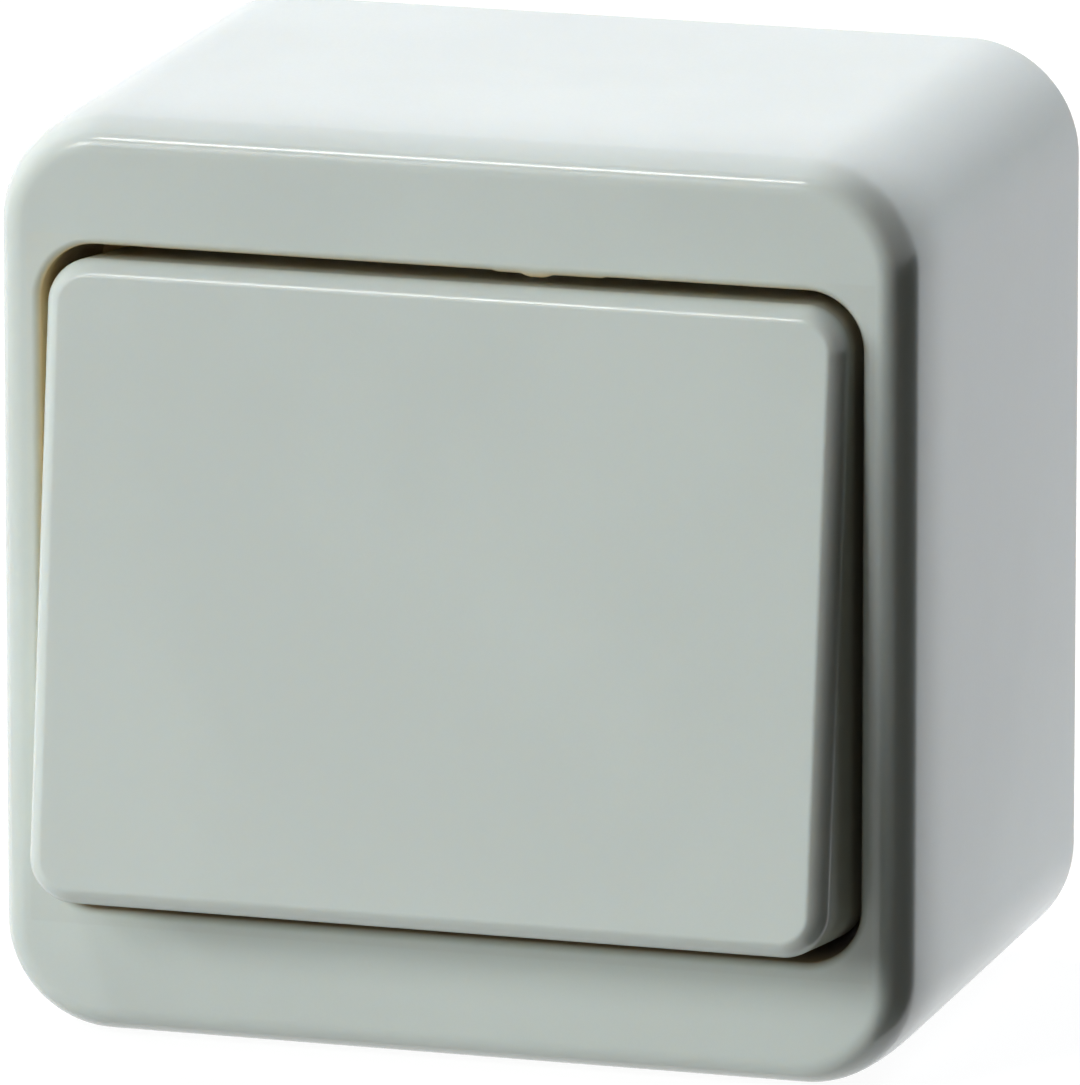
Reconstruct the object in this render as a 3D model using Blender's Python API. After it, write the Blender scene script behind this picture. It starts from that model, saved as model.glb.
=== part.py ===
"""Surface mounted light switch with one wide rocker and a two-way contact block.

The wall lies in the plane y = 0 and the rocker faces -Y, with +Z up and +X to the right.
Heights above the wall are called "out": a point that is out by 10 mm has y = -0.010.
Pieces on the rocker and on the contact lever are drawn about their own tilting axis.
Every length is in metres and every angle in degrees.
"""
from math import cos, pi, radians, sin

import bmesh
import bpy

# Casing
BODY_WIDTH = 0.0660
BODY_HEIGHT = 0.0655
BODY_DEPTH = 0.0436
BODY_CORNER = 0.0080
FRONT_FILLET = 0.0020
SIDE_WALL = 0.0022
FRONT_WALL = 0.0025

# Opening for the rocker, and the recess behind it
SIDE_BORDER = 0.0033
END_BORDER = 0.0090
OPENING_CORNER = 0.0040
OPENING_RISE = 0.0003
OPENING_FILLET = 0.0008
RECESS_DEPTH = 0.0140
RECESS_WALL = 0.0016
RECESS_FLOOR = 0.0020
WINDOW_CORNER = 0.0020
FRAME_LAP = 0.0020
STIFFENER_THICKNESS = 0.0012
STIFFENER_PITCH = 0.0130
STIFFENER_COUNT = 4

# Moulded nib on the opening's top edge
NIB_CENTRE = 0.0072
NIB_WIDTH = 0.0078
NIB_PROUD = 0.0002
NIB_TIP_CENTRE = 0.0063
NIB_TIP_WIDTH = 0.0024
NIB_TIP_PROUD = 0.0005
NIB_LENGTH = 0.0022

# Thin places in the hood's rim, broken out for a cable
BREAKOUT_WIDTH = 0.0160
BREAKOUT_HEIGHT = 0.0130
BREAKOUT_SKIN = 0.0010

# Rocker
ROCKER_SIDE_GAP = 0.0010
ROCKER_END_GAP = 0.0014
ROCKER_CORNER = 0.0032
ROCKER_FILLET = 0.0018
ROCKER_WALL = 0.0020
ROCKER_SKIRT = 0.0110
ROCKER_PROUD = 0.0047
ROCKER_TILT = 7.0
FACE_ABOVE_AXIS = 0.0060

# Rocker cradle and its pivot pins
CRADLE_WIDTH = 0.0230
CRADLE_HEIGHT = 0.0150
CRADLE_BACK = 0.0025
CRADLE_CORNER = 0.0015
PIN_RADIUS = 0.0015
EAR_THICKNESS = 0.0025
EAR_RADIUS = 0.0032
EAR_FOOT = 0.0120
EAR_SHOULDER = 10.0
CLIP_WIDTH = 0.0060
CLIP_THICKNESS = 0.0014
CLIP_BARB = 0.0007
BOSS_LENGTH = 0.0150
BOSS_WALL = 0.0014

# Plunger and spring
PLUNGER_RADIUS = 0.0019
PLUNGER_LENGTH = 0.0108
PLUNGER_TIP_GAP = 0.0001
SPRING_WIRE = 0.00055
SPRING_TURNS = 7

# Contact block
SOCKET_WIDTH = 0.0360
SOCKET_HEIGHT = 0.0400
SOCKET_CORNER = 0.0020
SOCKET_WALL = 0.0020
SOCKET_WEB = 0.0015
FRAME_THICKNESS = 0.0020
FRAME_HEIGHT = 0.0250
LEVER_DEPTH = 0.0030
LEVER_THICKNESS = 0.0008
LEVER_WIDTH = 0.0060
LEVER_TILT = 7.0
LEVER_ARM = 0.0100
LEVER_TAIL = 0.0020
CHEEK_DROP = 0.0016
CHEEK_THICKNESS = 0.0007
CHEEK_LENGTH = 0.0030
CONTACT_RADIUS = 0.0015
CONTACT_HEAD = 0.0009
CONTACT_SHANK = 0.0008
CONTACT_CROWN = 0.0003
CONTACT_UPSET = 0.0004
UPSET_RADIUS = 0.0012
CONTACT_GAP = 0.0002

# Terminals
STRIP_THICKNESS = 0.0008
STRIP_WIDTH = 0.0060
TERMINAL_FROM_END = 0.0032
TERMINAL_HALF_ROOM = 0.0036
TERMINAL_ROOM_WIDTH = 0.0090
COMMON_TERMINAL_SIDE = 0.0110
WIRE_ROOM = 0.0009
CLAMP_THICKNESS = 0.0009
CLAMP_LIP = 0.0006
CLAMP_GAP = 0.0006
TERMINAL_SCREW_RADIUS = 0.00145
TERMINAL_HEAD_RADIUS = 0.0027
TERMINAL_HEAD = 0.0018
TERMINAL_SCREW_REACH = 0.0040

# Base plate
BASE_THICKNESS = 0.0030
RIM_HEIGHT = 0.0075
RIM_THICKNESS = 0.0016
PILLAR_RADIUS = 0.0030
PILLAR_FROM_SOCKET = 0.0007
SOCKET_BOSS_RADIUS = 0.0034
SOCKET_BOSS_HEIGHT = 0.0060
SOCKET_SCREW_SIDE = 0.0125
SOCKET_SCREW_RISE = 0.0092
WALL_SLOT_WIDTH = 0.0040
WALL_SLOT_LENGTH = 0.0085
WALL_SEAT_STEP = 0.0020
WALL_SEAT_DEPTH = 0.0014
WALL_SLOT_FROM_END = 0.0105
ENTRY_WIDTH = 0.0200
ENTRY_HEIGHT = 0.0070
ENTRY_FROM_TOP = 0.0060

# Cover and socket screws
SCREW_RADIUS = 0.00145
COVER_HEAD_RADIUS = 0.0028
COVER_HEAD = 0.0020
COVER_SCREW_REACH = 0.0140
SOCKET_HEAD_RADIUS = 0.0026
SOCKET_HEAD_SINK = 0.0015
SOCKET_SCREW_REACH = 0.0050
SCREW_POINT = 0.0006
HEAD_EDGE = 0.0004
DRIVER_SLOT = 0.0009
DRIVER_SLOT_DEPTH = 0.0009

# Clearances
SEAT_GAP = 0.0003
HOLE_GAP = 0.0003
SLIDE_GAP = 0.0003
OVERCUT = 0.0010

# Facets
CORNER_STEPS = 8
FILLET_STEPS = 5
ROUND_STEPS = 24
RIVET_STEPS = 16
COIL_STEPS = 14
LEAST_CORNER = 0.00001
SHARP_EDGE = 35.0

# Sizes that follow
OPENING_WIDTH = BODY_WIDTH - 2 * SIDE_BORDER
OPENING_HEIGHT = BODY_HEIGHT - 2 * END_BORDER
INNER_WIDTH = BODY_WIDTH - 2 * SIDE_WALL
INNER_HEIGHT = BODY_HEIGHT - 2 * SIDE_WALL
INNER_CORNER = BODY_CORNER - SIDE_WALL
RECESS_FRONT = BODY_DEPTH - RECESS_DEPTH
RECESS_BACK = RECESS_FRONT - RECESS_FLOOR
ROCKER_WIDTH = OPENING_WIDTH - 2 * ROCKER_SIDE_GAP
ROCKER_HEIGHT = OPENING_HEIGHT - 2 * ROCKER_END_GAP
PIVOT_OUT = BODY_DEPTH + ROCKER_PROUD - FACE_ABOVE_AXIS
BASE_WIDTH = INNER_WIDTH - 2 * SEAT_GAP
BASE_HEIGHT = INNER_HEIGHT - 2 * SEAT_GAP
BASE_CORNER = INNER_CORNER - SEAT_GAP
FRAME_FRONT = RECESS_BACK - SEAT_GAP
FRAME_BACK = FRAME_FRONT - FRAME_THICKNESS
SOCKET_FRONT = FRAME_BACK - SEAT_GAP
SOCKET_BACK = BASE_THICKNESS + SEAT_GAP
LEVER_FRONT = SOCKET_FRONT - LEVER_DEPTH
LEVER_AXIS_OUT = LEVER_FRONT - LEVER_THICKNESS
CONTACT_SWING = LEVER_ARM * sin(radians(LEVER_TILT))
MOVING_FACE = LEVER_AXIS_OUT - CONTACT_GAP - CONTACT_HEAD
FIXED_FACE = MOVING_FACE - CONTACT_SWING - CONTACT_GAP
STRIP_FRONT = FIXED_FACE - CONTACT_HEAD - CONTACT_GAP
STRIP_BACK = STRIP_FRONT - STRIP_THICKNESS
STRIP_SEAT = STRIP_BACK - SEAT_GAP
TERMINAL_RISE = SOCKET_HEIGHT / 2 - TERMINAL_FROM_END
PILLAR_SIDE = SOCKET_WIDTH / 2 + PILLAR_FROM_SOCKET + PILLAR_RADIUS
EAR_INNER = CRADLE_WIDTH / 2 + SLIDE_GAP
EAR_OUTER = EAR_INNER + EAR_THICKNESS
PLUNGER_REACH = PIVOT_OUT - LEVER_FRONT - PLUNGER_TIP_GAP
BORE_RADIUS = PLUNGER_RADIUS + SLIDE_GAP
BOSS_RADIUS = BORE_RADIUS + BOSS_WALL

# Finishes: colour, roughness, metallic
WHITE_PLASTIC = ("white_plastic", (0.67, 0.71, 0.69), 0.28, 0.0)
GREY_PLASTIC = ("grey_plastic", (0.45, 0.46, 0.45), 0.50, 0.0)
BLACK_PLASTIC = ("dark_plastic", (0.035, 0.035, 0.037), 0.45, 0.0)
BRASS = ("brass", (0.70, 0.52, 0.22), 0.32, 1.0)
SILVER = ("contact_silver", (0.82, 0.82, 0.80), 0.25, 1.0)
STEEL = ("zinc_steel", (0.62, 0.63, 0.64), 0.35, 1.0)


def clear_scene():
    """Removes whatever the file holds, so that only the switch is in it."""
    for item in list(bpy.data.objects):
        bpy.data.objects.remove(item, do_unlink=True)


def finish(name, colour, roughness, metallic):
    """Returns the named material, making it at its first use."""
    material = bpy.data.materials.get(name)
    if material is None:
        material = bpy.data.materials.new(name)
        material.use_nodes = True
        shader = material.node_tree.nodes["Principled BSDF"]
        shader.inputs["Base Color"].default_value = (*colour, 1.0)
        shader.inputs["Roughness"].default_value = roughness
        shader.inputs["Metallic"].default_value = metallic
    return material


def add_object(name, mesh, material=None, parent=None):
    """Links a mesh as an object, shaded smooth but for its sharp edges."""
    mesh.shade_smooth()
    mesh.set_sharp_from_angle(angle=radians(SHARP_EDGE))
    piece = bpy.data.objects.new(name, mesh)
    bpy.context.collection.objects.link(piece)
    if material is not None:
        mesh.materials.append(finish(*material))
    piece.parent = parent
    return piece


def skin(name, rings, material=None, parent=None):
    """Solid through rings of equal length, capped at its first and last ring."""
    form = bmesh.new()
    rows = [[form.verts.new(point) for point in ring] for ring in rings]
    count = len(rings[0])
    for lower, upper in zip(rows, rows[1:]):
        for index in range(count):
            after = (index + 1) % count
            form.faces.new((lower[index], lower[after], upper[after], upper[index]))
    form.faces.new(rows[0][::-1])
    form.faces.new(rows[-1])
    bmesh.ops.recalc_face_normals(form, faces=form.faces)
    mesh = bpy.data.meshes.new(name)
    form.to_mesh(mesh)
    form.free()
    return add_object(name, mesh, material, parent)


def rounded_outline(width, height, corner, centre=(0.0, 0.0)):
    """Rounded rectangle as (across, up) pairs, anticlockwise from the right."""
    corner = max(min(corner, width / 2 - LEAST_CORNER, height / 2 - LEAST_CORNER), LEAST_CORNER)
    outline = []
    for quarter, (side, rise) in enumerate(((1, 1), (-1, 1), (-1, -1), (1, -1))):
        for step in range(CORNER_STEPS + 1):
            turn = pi / 2 * (quarter + step / CORNER_STEPS)
            outline.append((
                centre[0] + side * (width / 2 - corner) + corner * cos(turn),
                centre[1] + rise * (height / 2 - corner) + corner * sin(turn)))
    return outline


def circle_outline(radius, centre=(0.0, 0.0), steps=ROUND_STEPS):
    """Circle as (across, up) pairs."""
    turns = [2 * pi * step / steps for step in range(steps)]
    return [(centre[0] + radius * cos(turn), centre[1] + radius * sin(turn)) for turn in turns]


def slab(name, outline, back, front, material=None, parent=None):
    """An outline drawn on the wall, carried from one height above it to another."""
    rings = [[(across, -out, up) for across, up in outline] for out in (back, front)]
    return skin(name, rings, material, parent)


def moulding(name, size, profile, centre=(0.0, 0.0), material=None, parent=None):
    """Rounded block of a (width, height, corner) whose profile lists (inset, out), back to front."""
    width, height, corner = size
    rings = []
    for inset, out in profile:
        outline = rounded_outline(width - 2 * inset, height - 2 * inset, corner - inset, centre)
        rings.append([(across, -out, up) for across, up in outline])
    return skin(name, rings, material, parent)


def block(name, across, out, up, material=None, parent=None):
    """Plain block between the limits given for each direction."""
    corners = [(across[0], up[0]), (across[1], up[0]), (across[1], up[1]), (across[0], up[1])]
    return slab(name, corners, out[0], out[1], material, parent)


def turned(name, profile, centre=(0.0, 0.0), material=None, parent=None, steps=ROUND_STEPS):
    """Round piece about an axis square to the wall, from (radius, out) pairs."""
    rings = []
    for radius, out in profile:
        outline = circle_outline(radius, centre, steps)
        rings.append([(across, -out, up) for across, up in outline])
    return skin(name, rings, material, parent)


def cross_pin(name, radius, across, centre=(0.0, 0.0), material=None, parent=None):
    """Round bar along X, its centre given as (out, up)."""
    ring = circle_outline(radius, centre)
    rings = [[(place, -out, up) for out, up in ring] for place in across]
    return skin(name, rings, material, parent)


def cut_away(piece, tool):
    """Takes the tool's shape out of the piece."""
    combine(piece, tool, 'DIFFERENCE')


def join(piece, tool):
    """Adds the tool's shape to the piece, as one moulding."""
    combine(piece, tool, 'UNION')


def combine(piece, tool, operation):
    """Boolean modifier with its tool kept as a hidden guide."""
    modifier = piece.modifiers.new(tool.name, 'BOOLEAN')
    modifier.operation = operation
    modifier.solver = 'EXACT'
    modifier.object = tool
    tool.hide_render = True
    tool.display_type = 'WIRE'


def fillet(centre_inset, centre_out, radius):
    """Quarter round in a moulding's profile, from its side face to its front face."""
    turn_step = radians(90) / FILLET_STEPS
    turns = [turn_step * step for step in range(FILLET_STEPS + 1)]
    return [(centre_inset - radius * cos(turn), centre_out + radius * sin(turn)) for turn in turns]


def make_cover():
    """Hood with its opening, recess, stiffeners, window, nib and thin break-out places."""
    profile = [(0.0, 0.0)] + fillet(FRONT_FILLET, BODY_DEPTH - FRONT_FILLET, FRONT_FILLET)
    size = (BODY_WIDTH, BODY_HEIGHT, BODY_CORNER)
    cover = moulding("housing_cover", size, profile, material=WHITE_PLASTIC)
    cut_away(cover, cover_hollow())
    cut_away(cover, opening_tool())
    window_width = 2 * (EAR_OUTER + SEAT_GAP)
    window_height = FRAME_HEIGHT - 2 * FRAME_LAP
    window = rounded_outline(window_width, window_height, WINDOW_CORNER)
    cut_away(cover, slab("cover_window_tool", window, RECESS_BACK - OVERCUT, RECESS_FRONT + OVERCUT))
    for side, label in ((-1, "left"), (1, "right")):
        hole = circle_outline(SCREW_RADIUS + HOLE_GAP, (side * PILLAR_SIDE, 0.0))
        tool = slab(f"cover_hole_tool_{label}", hole, RECESS_BACK - OVERCUT, RECESS_FRONT + OVERCUT)
        cut_away(cover, tool)
    for side, label in ((-1, "bottom"), (1, "top")):
        inner = side * (INNER_HEIGHT / 2 - OVERCUT)
        outer = side * (BODY_HEIGHT / 2 - BREAKOUT_SKIN)
        span = (-BREAKOUT_WIDTH / 2, BREAKOUT_WIDTH / 2)
        rise = (min(inner, outer), max(inner, outer))
        cut_away(cover, block(f"breakout_tool_{label}", span, (-OVERCUT, BREAKOUT_HEIGHT), rise))
    join(cover, nib_form("nib_lip", NIB_CENTRE, NIB_WIDTH, NIB_PROUD))
    join(cover, nib_form("nib_tip", NIB_TIP_CENTRE, NIB_TIP_WIDTH, NIB_TIP_PROUD))
    return cover


def cover_hollow():
    """Space behind the hood's front, less the recess walls and the stiffeners."""
    profile = [(0.0, -OVERCUT), (0.0, BODY_DEPTH - FRONT_WALL)]
    hollow = moulding("cover_hollow_tool", (INNER_WIDTH, INNER_HEIGHT, INNER_CORNER), profile)
    wide = OPENING_WIDTH + 2 * RECESS_WALL
    high = OPENING_HEIGHT + 2 * RECESS_WALL
    outline = rounded_outline(wide, high, OPENING_CORNER + RECESS_WALL, (0.0, OPENING_RISE))
    cut_away(hollow, slab("recess_walls", outline, RECESS_BACK, BODY_DEPTH + OVERCUT))
    for index in range(STIFFENER_COUNT):
        place = (index - (STIFFENER_COUNT - 1) / 2) * STIFFENER_PITCH
        span = (place - STIFFENER_THICKNESS / 2, place + STIFFENER_THICKNESS / 2)
        rise = (-BODY_HEIGHT / 2, BODY_HEIGHT / 2)
        cut_away(hollow, block(f"stiffener_{index + 1}", span, (RECESS_FRONT, BODY_DEPTH), rise))
    return hollow


def opening_tool():
    """Opening and recess, flared at the front by the rounded edge of the border."""
    edge = fillet(OPENING_FILLET, BODY_DEPTH - OPENING_FILLET, OPENING_FILLET)
    profile = [(0.0, RECESS_FRONT)] + [(-inset, out) for inset, out in edge]
    profile.append((-OPENING_FILLET, BODY_DEPTH + OVERCUT))
    size = (OPENING_WIDTH, OPENING_HEIGHT, OPENING_CORNER)
    return moulding("opening_tool", size, profile, (0.0, OPENING_RISE))


def nib_form(name, centre, width, proud):
    """Low lug with round ends on the opening's top edge, standing down into the gap."""
    edge = OPENING_RISE + OPENING_HEIGHT / 2
    front = BODY_DEPTH - OPENING_FILLET / 2
    high = 2 * (proud + OPENING_FILLET)
    outline = rounded_outline(width, high, proud + OPENING_FILLET, (centre, edge - proud + high / 2))
    return slab(name, outline, front - NIB_LENGTH, front)


def make_base():
    """Wall plate with rim, pillars for the hood, bosses for the block, slots and cable entry."""
    size = (BASE_WIDTH, BASE_HEIGHT, BASE_CORNER)
    base = moulding("base_plate", size, [(0.0, 0.0), (0.0, RIM_HEIGHT)], material=GREY_PLASTIC)
    inside = [(RIM_THICKNESS, BASE_THICKNESS), (RIM_THICKNESS, RIM_HEIGHT + OVERCUT)]
    cut_away(base, moulding("base_tray_tool", size, inside))
    entry_up = BASE_HEIGHT / 2 - ENTRY_FROM_TOP
    entry = rounded_outline(ENTRY_WIDTH, ENTRY_HEIGHT, ENTRY_HEIGHT / 2, (0.0, entry_up))
    cut_away(base, slab("cable_entry_tool", entry, -OVERCUT, BASE_THICKNESS + OVERCUT))
    for side, label in ((-1, "bottom"), (1, "top")):
        edge = side * BASE_HEIGHT / 2
        rise = sorted((edge - side * (RIM_THICKNESS + OVERCUT), edge + side * OVERCUT))
        span = (-BREAKOUT_WIDTH / 2, BREAKOUT_WIDTH / 2)
        cut_away(base, block(f"rim_notch_tool_{label}", span, (BASE_THICKNESS, RIM_HEIGHT + OVERCUT), rise))
    for side, label in ((-1, "left"), (1, "right")):
        top = RECESS_BACK - SEAT_GAP
        depth = top - RECESS_FRONT + COVER_SCREW_REACH
        add_screw_post(base, f"pillar_{label}", (side * PILLAR_SIDE, 0.0), PILLAR_RADIUS, top, depth)
        top = BASE_THICKNESS + SOCKET_BOSS_HEIGHT
        place = socket_screw_place(side)
        add_screw_post(base, f"boss_{label}", place, SOCKET_BOSS_RADIUS, top, SOCKET_SCREW_REACH)
        cut_wall_slot(base, side, label)
    return base


def socket_screw_place(side):
    """Centre of one of the two screws that cross the contact block on a diagonal."""
    return (side * SOCKET_SCREW_SIDE, -side * SOCKET_SCREW_RISE)


def add_screw_post(base, name, place, radius, top, screw_depth):
    """Round post on the base plate with a blind bore for its screw."""
    join(base, slab(name, circle_outline(radius, place), BASE_THICKNESS / 2, top))
    bore = circle_outline(SCREW_RADIUS + HOLE_GAP, place)
    cut_away(base, slab(f"{name}_bore", bore, top - screw_depth - SEAT_GAP, top + OVERCUT))


def cut_wall_slot(base, side, label):
    """Slot for a wall screw with a step for its head, upright on one side and level on the other."""
    centre = (side * PILLAR_SIDE, side * (BASE_HEIGHT / 2 - WALL_SLOT_FROM_END))
    sizes = (WALL_SLOT_WIDTH, WALL_SLOT_LENGTH) if side < 0 else (WALL_SLOT_LENGTH, WALL_SLOT_WIDTH)
    slot = rounded_outline(*sizes, WALL_SLOT_WIDTH / 2, centre)
    cut_away(base, slab(f"wall_slot_tool_{label}", slot, -OVERCUT, BASE_THICKNESS + OVERCUT))
    seat_sizes = [size + 2 * WALL_SEAT_STEP for size in sizes]
    seat = rounded_outline(*seat_sizes, WALL_SLOT_WIDTH / 2 + WALL_SEAT_STEP, centre)
    seat_floor = BASE_THICKNESS - WALL_SEAT_DEPTH
    cut_away(base, slab(f"wall_seat_tool_{label}", seat, seat_floor, BASE_THICKNESS + OVERCUT))


def make_socket():
    """Contact block: a hollow-backed moulding with a lever chamber and three terminal bays."""
    outline = rounded_outline(SOCKET_WIDTH, SOCKET_HEIGHT, SOCKET_CORNER)
    socket = slab("switch_socket", outline, SOCKET_BACK, SOCKET_FRONT, BLACK_PLASTIC)
    cut_away(socket, socket_hollow())
    front = SOCKET_FRONT + OVERCUT
    chamber_rise = LEVER_ARM + LEVER_TAIL + HOLE_GAP
    half = LEVER_WIDTH / 2 + SLIDE_GAP
    rise = (-chamber_rise, chamber_rise)
    cut_away(socket, block("lever_chamber_tool", (-half, half), (STRIP_SEAT, front), rise))
    channel = STRIP_WIDTH / 2 + SEAT_GAP
    bay = TERMINAL_ROOM_WIDTH / 2
    bay_start = TERMINAL_RISE - TERMINAL_HALF_ROOM
    end = SOCKET_HEIGHT / 2 + OVERCUT
    bays = (("upper", 0.0, 1), ("lower", 0.0, -1), ("common", COMMON_TERMINAL_SIDE, 1))
    for label, place, side in bays:
        rise = sorted((side * bay_start, side * end))
        cut_away(socket, block(f"bay_tool_{label}", (place - bay, place + bay), (STRIP_SEAT, front), rise))
        bore = circle_outline(TERMINAL_SCREW_RADIUS + HOLE_GAP, (place, side * TERMINAL_RISE))
        bore_end = STRIP_BACK - TERMINAL_SCREW_REACH - SEAT_GAP
        cut_away(socket, slab(f"bay_bore_{label}", bore, bore_end, front))
    for side, label in ((-1, "lower"), (1, "upper")):
        rise = sorted((side * (chamber_rise - OVERCUT), side * (bay_start + OVERCUT)))
        height = (STRIP_SEAT, STRIP_FRONT + SEAT_GAP)
        cut_away(socket, block(f"strip_slot_tool_{label}", (-channel, channel), height, rise))
        pocket = circle_outline(UPSET_RADIUS + HOLE_GAP, (0.0, side * LEVER_ARM))
        pocket_end = STRIP_BACK - CONTACT_GAP - CONTACT_UPSET - SEAT_GAP
        cut_away(socket, slab(f"rivet_pocket_{label}", pocket, pocket_end, STRIP_FRONT))
    level = (STRIP_SEAT, front)
    arm_end = COMMON_TERMINAL_SIDE + channel
    cut_away(socket, block("common_arm_tool", (0.0, arm_end), level, (-channel, channel)))
    upright = (COMMON_TERMINAL_SIDE - channel, arm_end)
    cut_away(socket, block("common_rise_tool", upright, level, (0.0, bay_start + OVERCUT)))
    for side, label in ((-1, "left"), (1, "right")):
        place = socket_screw_place(side)
        bore = circle_outline(SCREW_RADIUS + HOLE_GAP, place)
        cut_away(socket, slab(f"socket_bore_{label}", bore, SOCKET_BACK - OVERCUT, front))
        pocket = circle_outline(SOCKET_BOSS_RADIUS + HOLE_GAP, place)
        pocket_end = BASE_THICKNESS + SOCKET_BOSS_HEIGHT + SEAT_GAP
        cut_away(socket, slab(f"boss_pocket_{label}", pocket, SOCKET_BACK - OVERCUT, pocket_end))
    return socket


def socket_hollow():
    """Space in the block's back, less the two screw columns."""
    top = STRIP_BACK - TERMINAL_SCREW_REACH - SEAT_GAP - SOCKET_WEB
    size = (SOCKET_WIDTH - 2 * SOCKET_WALL, SOCKET_HEIGHT - 2 * SOCKET_WALL)
    outline = rounded_outline(*size, SOCKET_CORNER)
    hollow = slab("socket_hollow_tool", outline, SOCKET_BACK - OVERCUT, top)
    for side, label in ((-1, "left"), (1, "right")):
        column = circle_outline(SOCKET_BOSS_RADIUS + HOLE_GAP + SOCKET_WEB, socket_screw_place(side))
        cut_away(hollow, slab(f"screw_column_{label}", column, SOCKET_BACK - 2 * OVERCUT, top + OVERCUT))
    return hollow


def make_bearing_frame():
    """Plate over the block with two tapered ears that carry the rocker's pins."""
    outline = rounded_outline(SOCKET_WIDTH, FRAME_HEIGHT, SOCKET_CORNER)
    frame = slab("bearing_frame", outline, FRAME_BACK, FRAME_FRONT, GREY_PLASTIC)
    swing = PLUNGER_REACH * sin(radians(ROCKER_TILT))
    half = BOSS_RADIUS + SLIDE_GAP
    hole = rounded_outline(2 * half, 2 * (half + swing), WINDOW_CORNER)
    cut_away(frame, slab("frame_hole_tool", hole, FRAME_BACK - OVERCUT, FRAME_FRONT + OVERCUT))
    for side, label in ((-1, "left"), (1, "right")):
        join(frame, bearing_ear(f"ear_{label}", side))
        pin_hole = PIN_RADIUS + SLIDE_GAP
        span = sorted((side * (EAR_INNER - OVERCUT), side * (EAR_OUTER + OVERCUT)))
        cut_away(frame, cross_pin(f"ear_hole_{label}", pin_hole, span, (PIVOT_OUT, 0.0)))
        bore = SCREW_RADIUS + HOLE_GAP
        mouth = SOCKET_HEAD_RADIUS + HOLE_GAP
        profile = [
            (bore, FRAME_BACK - OVERCUT), (bore, FRAME_FRONT - SOCKET_HEAD_SINK),
            (mouth, FRAME_FRONT), (mouth, FRAME_FRONT + OVERCUT)]
        cut_away(frame, turned(f"frame_bore_{label}", profile, socket_screw_place(side)))
    return frame


def bearing_ear(name, side):
    """Upright plate, wide at its foot and round about the pin."""
    sweep = 180 - 2 * EAR_SHOULDER
    turns = [radians(EAR_SHOULDER + sweep * step / ROUND_STEPS) for step in range(ROUND_STEPS + 1)]
    outline = [(PIVOT_OUT + EAR_RADIUS * sin(turn), EAR_RADIUS * cos(turn)) for turn in turns]
    foot = FRAME_BACK + FRAME_THICKNESS / 2
    outline += [(foot, -EAR_FOOT / 2), (foot, EAR_FOOT / 2)]
    rings = [[(side * across, -out, up) for out, up in outline] for across in (EAR_INNER, EAR_OUTER)]
    return skin(name, rings)


def make_rocker_group():
    """Rocker, cradle and spring on the tilting axis, with the top of the rocker pressed in."""
    axis = bpy.data.objects.new("rocker_axis", None)
    bpy.context.collection.objects.link(axis)
    axis.location = (0.0, -PIVOT_OUT, 0.0)
    axis.rotation_euler = (radians(-ROCKER_TILT), 0.0, 0.0)
    make_rocker(axis)
    make_cradle(axis)
    make_plunger(axis)
    make_spring(axis)


def make_rocker(axis):
    """Rocker cap: rounded face, skirt and two clips that grip the cradle."""
    back = FACE_ABOVE_AXIS - ROCKER_SKIRT
    size = (ROCKER_WIDTH, ROCKER_HEIGHT, ROCKER_CORNER)
    profile = [(0.0, back)] + fillet(ROCKER_FILLET, FACE_ABOVE_AXIS - ROCKER_FILLET, ROCKER_FILLET)
    rocker = moulding("rocker", size, profile, material=WHITE_PLASTIC, parent=axis)
    hollow = [(ROCKER_WALL, back - OVERCUT), (ROCKER_WALL, FACE_ABOVE_AXIS - ROCKER_WALL)]
    cut_away(rocker, moulding("rocker_hollow_tool", size, hollow, parent=axis))
    for rise, label in ((-1, "lower"), (1, "upper")):
        join(rocker, rocker_clip(f"rocker_clip_{label}", rise, axis))
    return rocker


def rocker_clip(name, rise, axis):
    """Leg beside the cradle with a barb that snaps behind it."""
    near = CRADLE_HEIGHT / 2 + SEAT_GAP
    root = FACE_ABOVE_AXIS - ROCKER_WALL / 2
    under = -CRADLE_BACK - SEAT_GAP
    barb = CLIP_BARB + SEAT_GAP
    outline = [
        (root, near), (under, near), (under, near - barb), (under - barb, near - barb / 2),
        (under - 2 * barb, near + CLIP_THICKNESS / 2), (under - 2 * barb, near + CLIP_THICKNESS),
        (root, near + CLIP_THICKNESS)]
    span = (-CLIP_WIDTH / 2, CLIP_WIDTH / 2)
    rings = [[(across, -out, rise * up) for out, up in outline] for across in span]
    return skin(name, rings, parent=axis)


def make_cradle(axis):
    """Yoke under the rocker with its pivot pins and the boss that guides the plunger."""
    front = FACE_ABOVE_AXIS - ROCKER_WALL - SEAT_GAP
    outline = rounded_outline(CRADLE_WIDTH, CRADLE_HEIGHT, CRADLE_CORNER)
    cradle = slab("rocker_cradle", outline, -CRADLE_BACK, front, GREY_PLASTIC, axis)
    pin_end = EAR_OUTER - SEAT_GAP
    join(cradle, cross_pin("pivot_pins", PIN_RADIUS, (-pin_end, pin_end), parent=axis))
    boss = circle_outline(BOSS_RADIUS)
    join(cradle, slab("plunger_boss", boss, -BOSS_LENGTH, 0.0, parent=axis))
    bore = circle_outline(BORE_RADIUS)
    cut_away(cradle, slab("plunger_bore", bore, -BOSS_LENGTH - OVERCUT, PIN_RADIUS, parent=axis))
    return cradle


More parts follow.
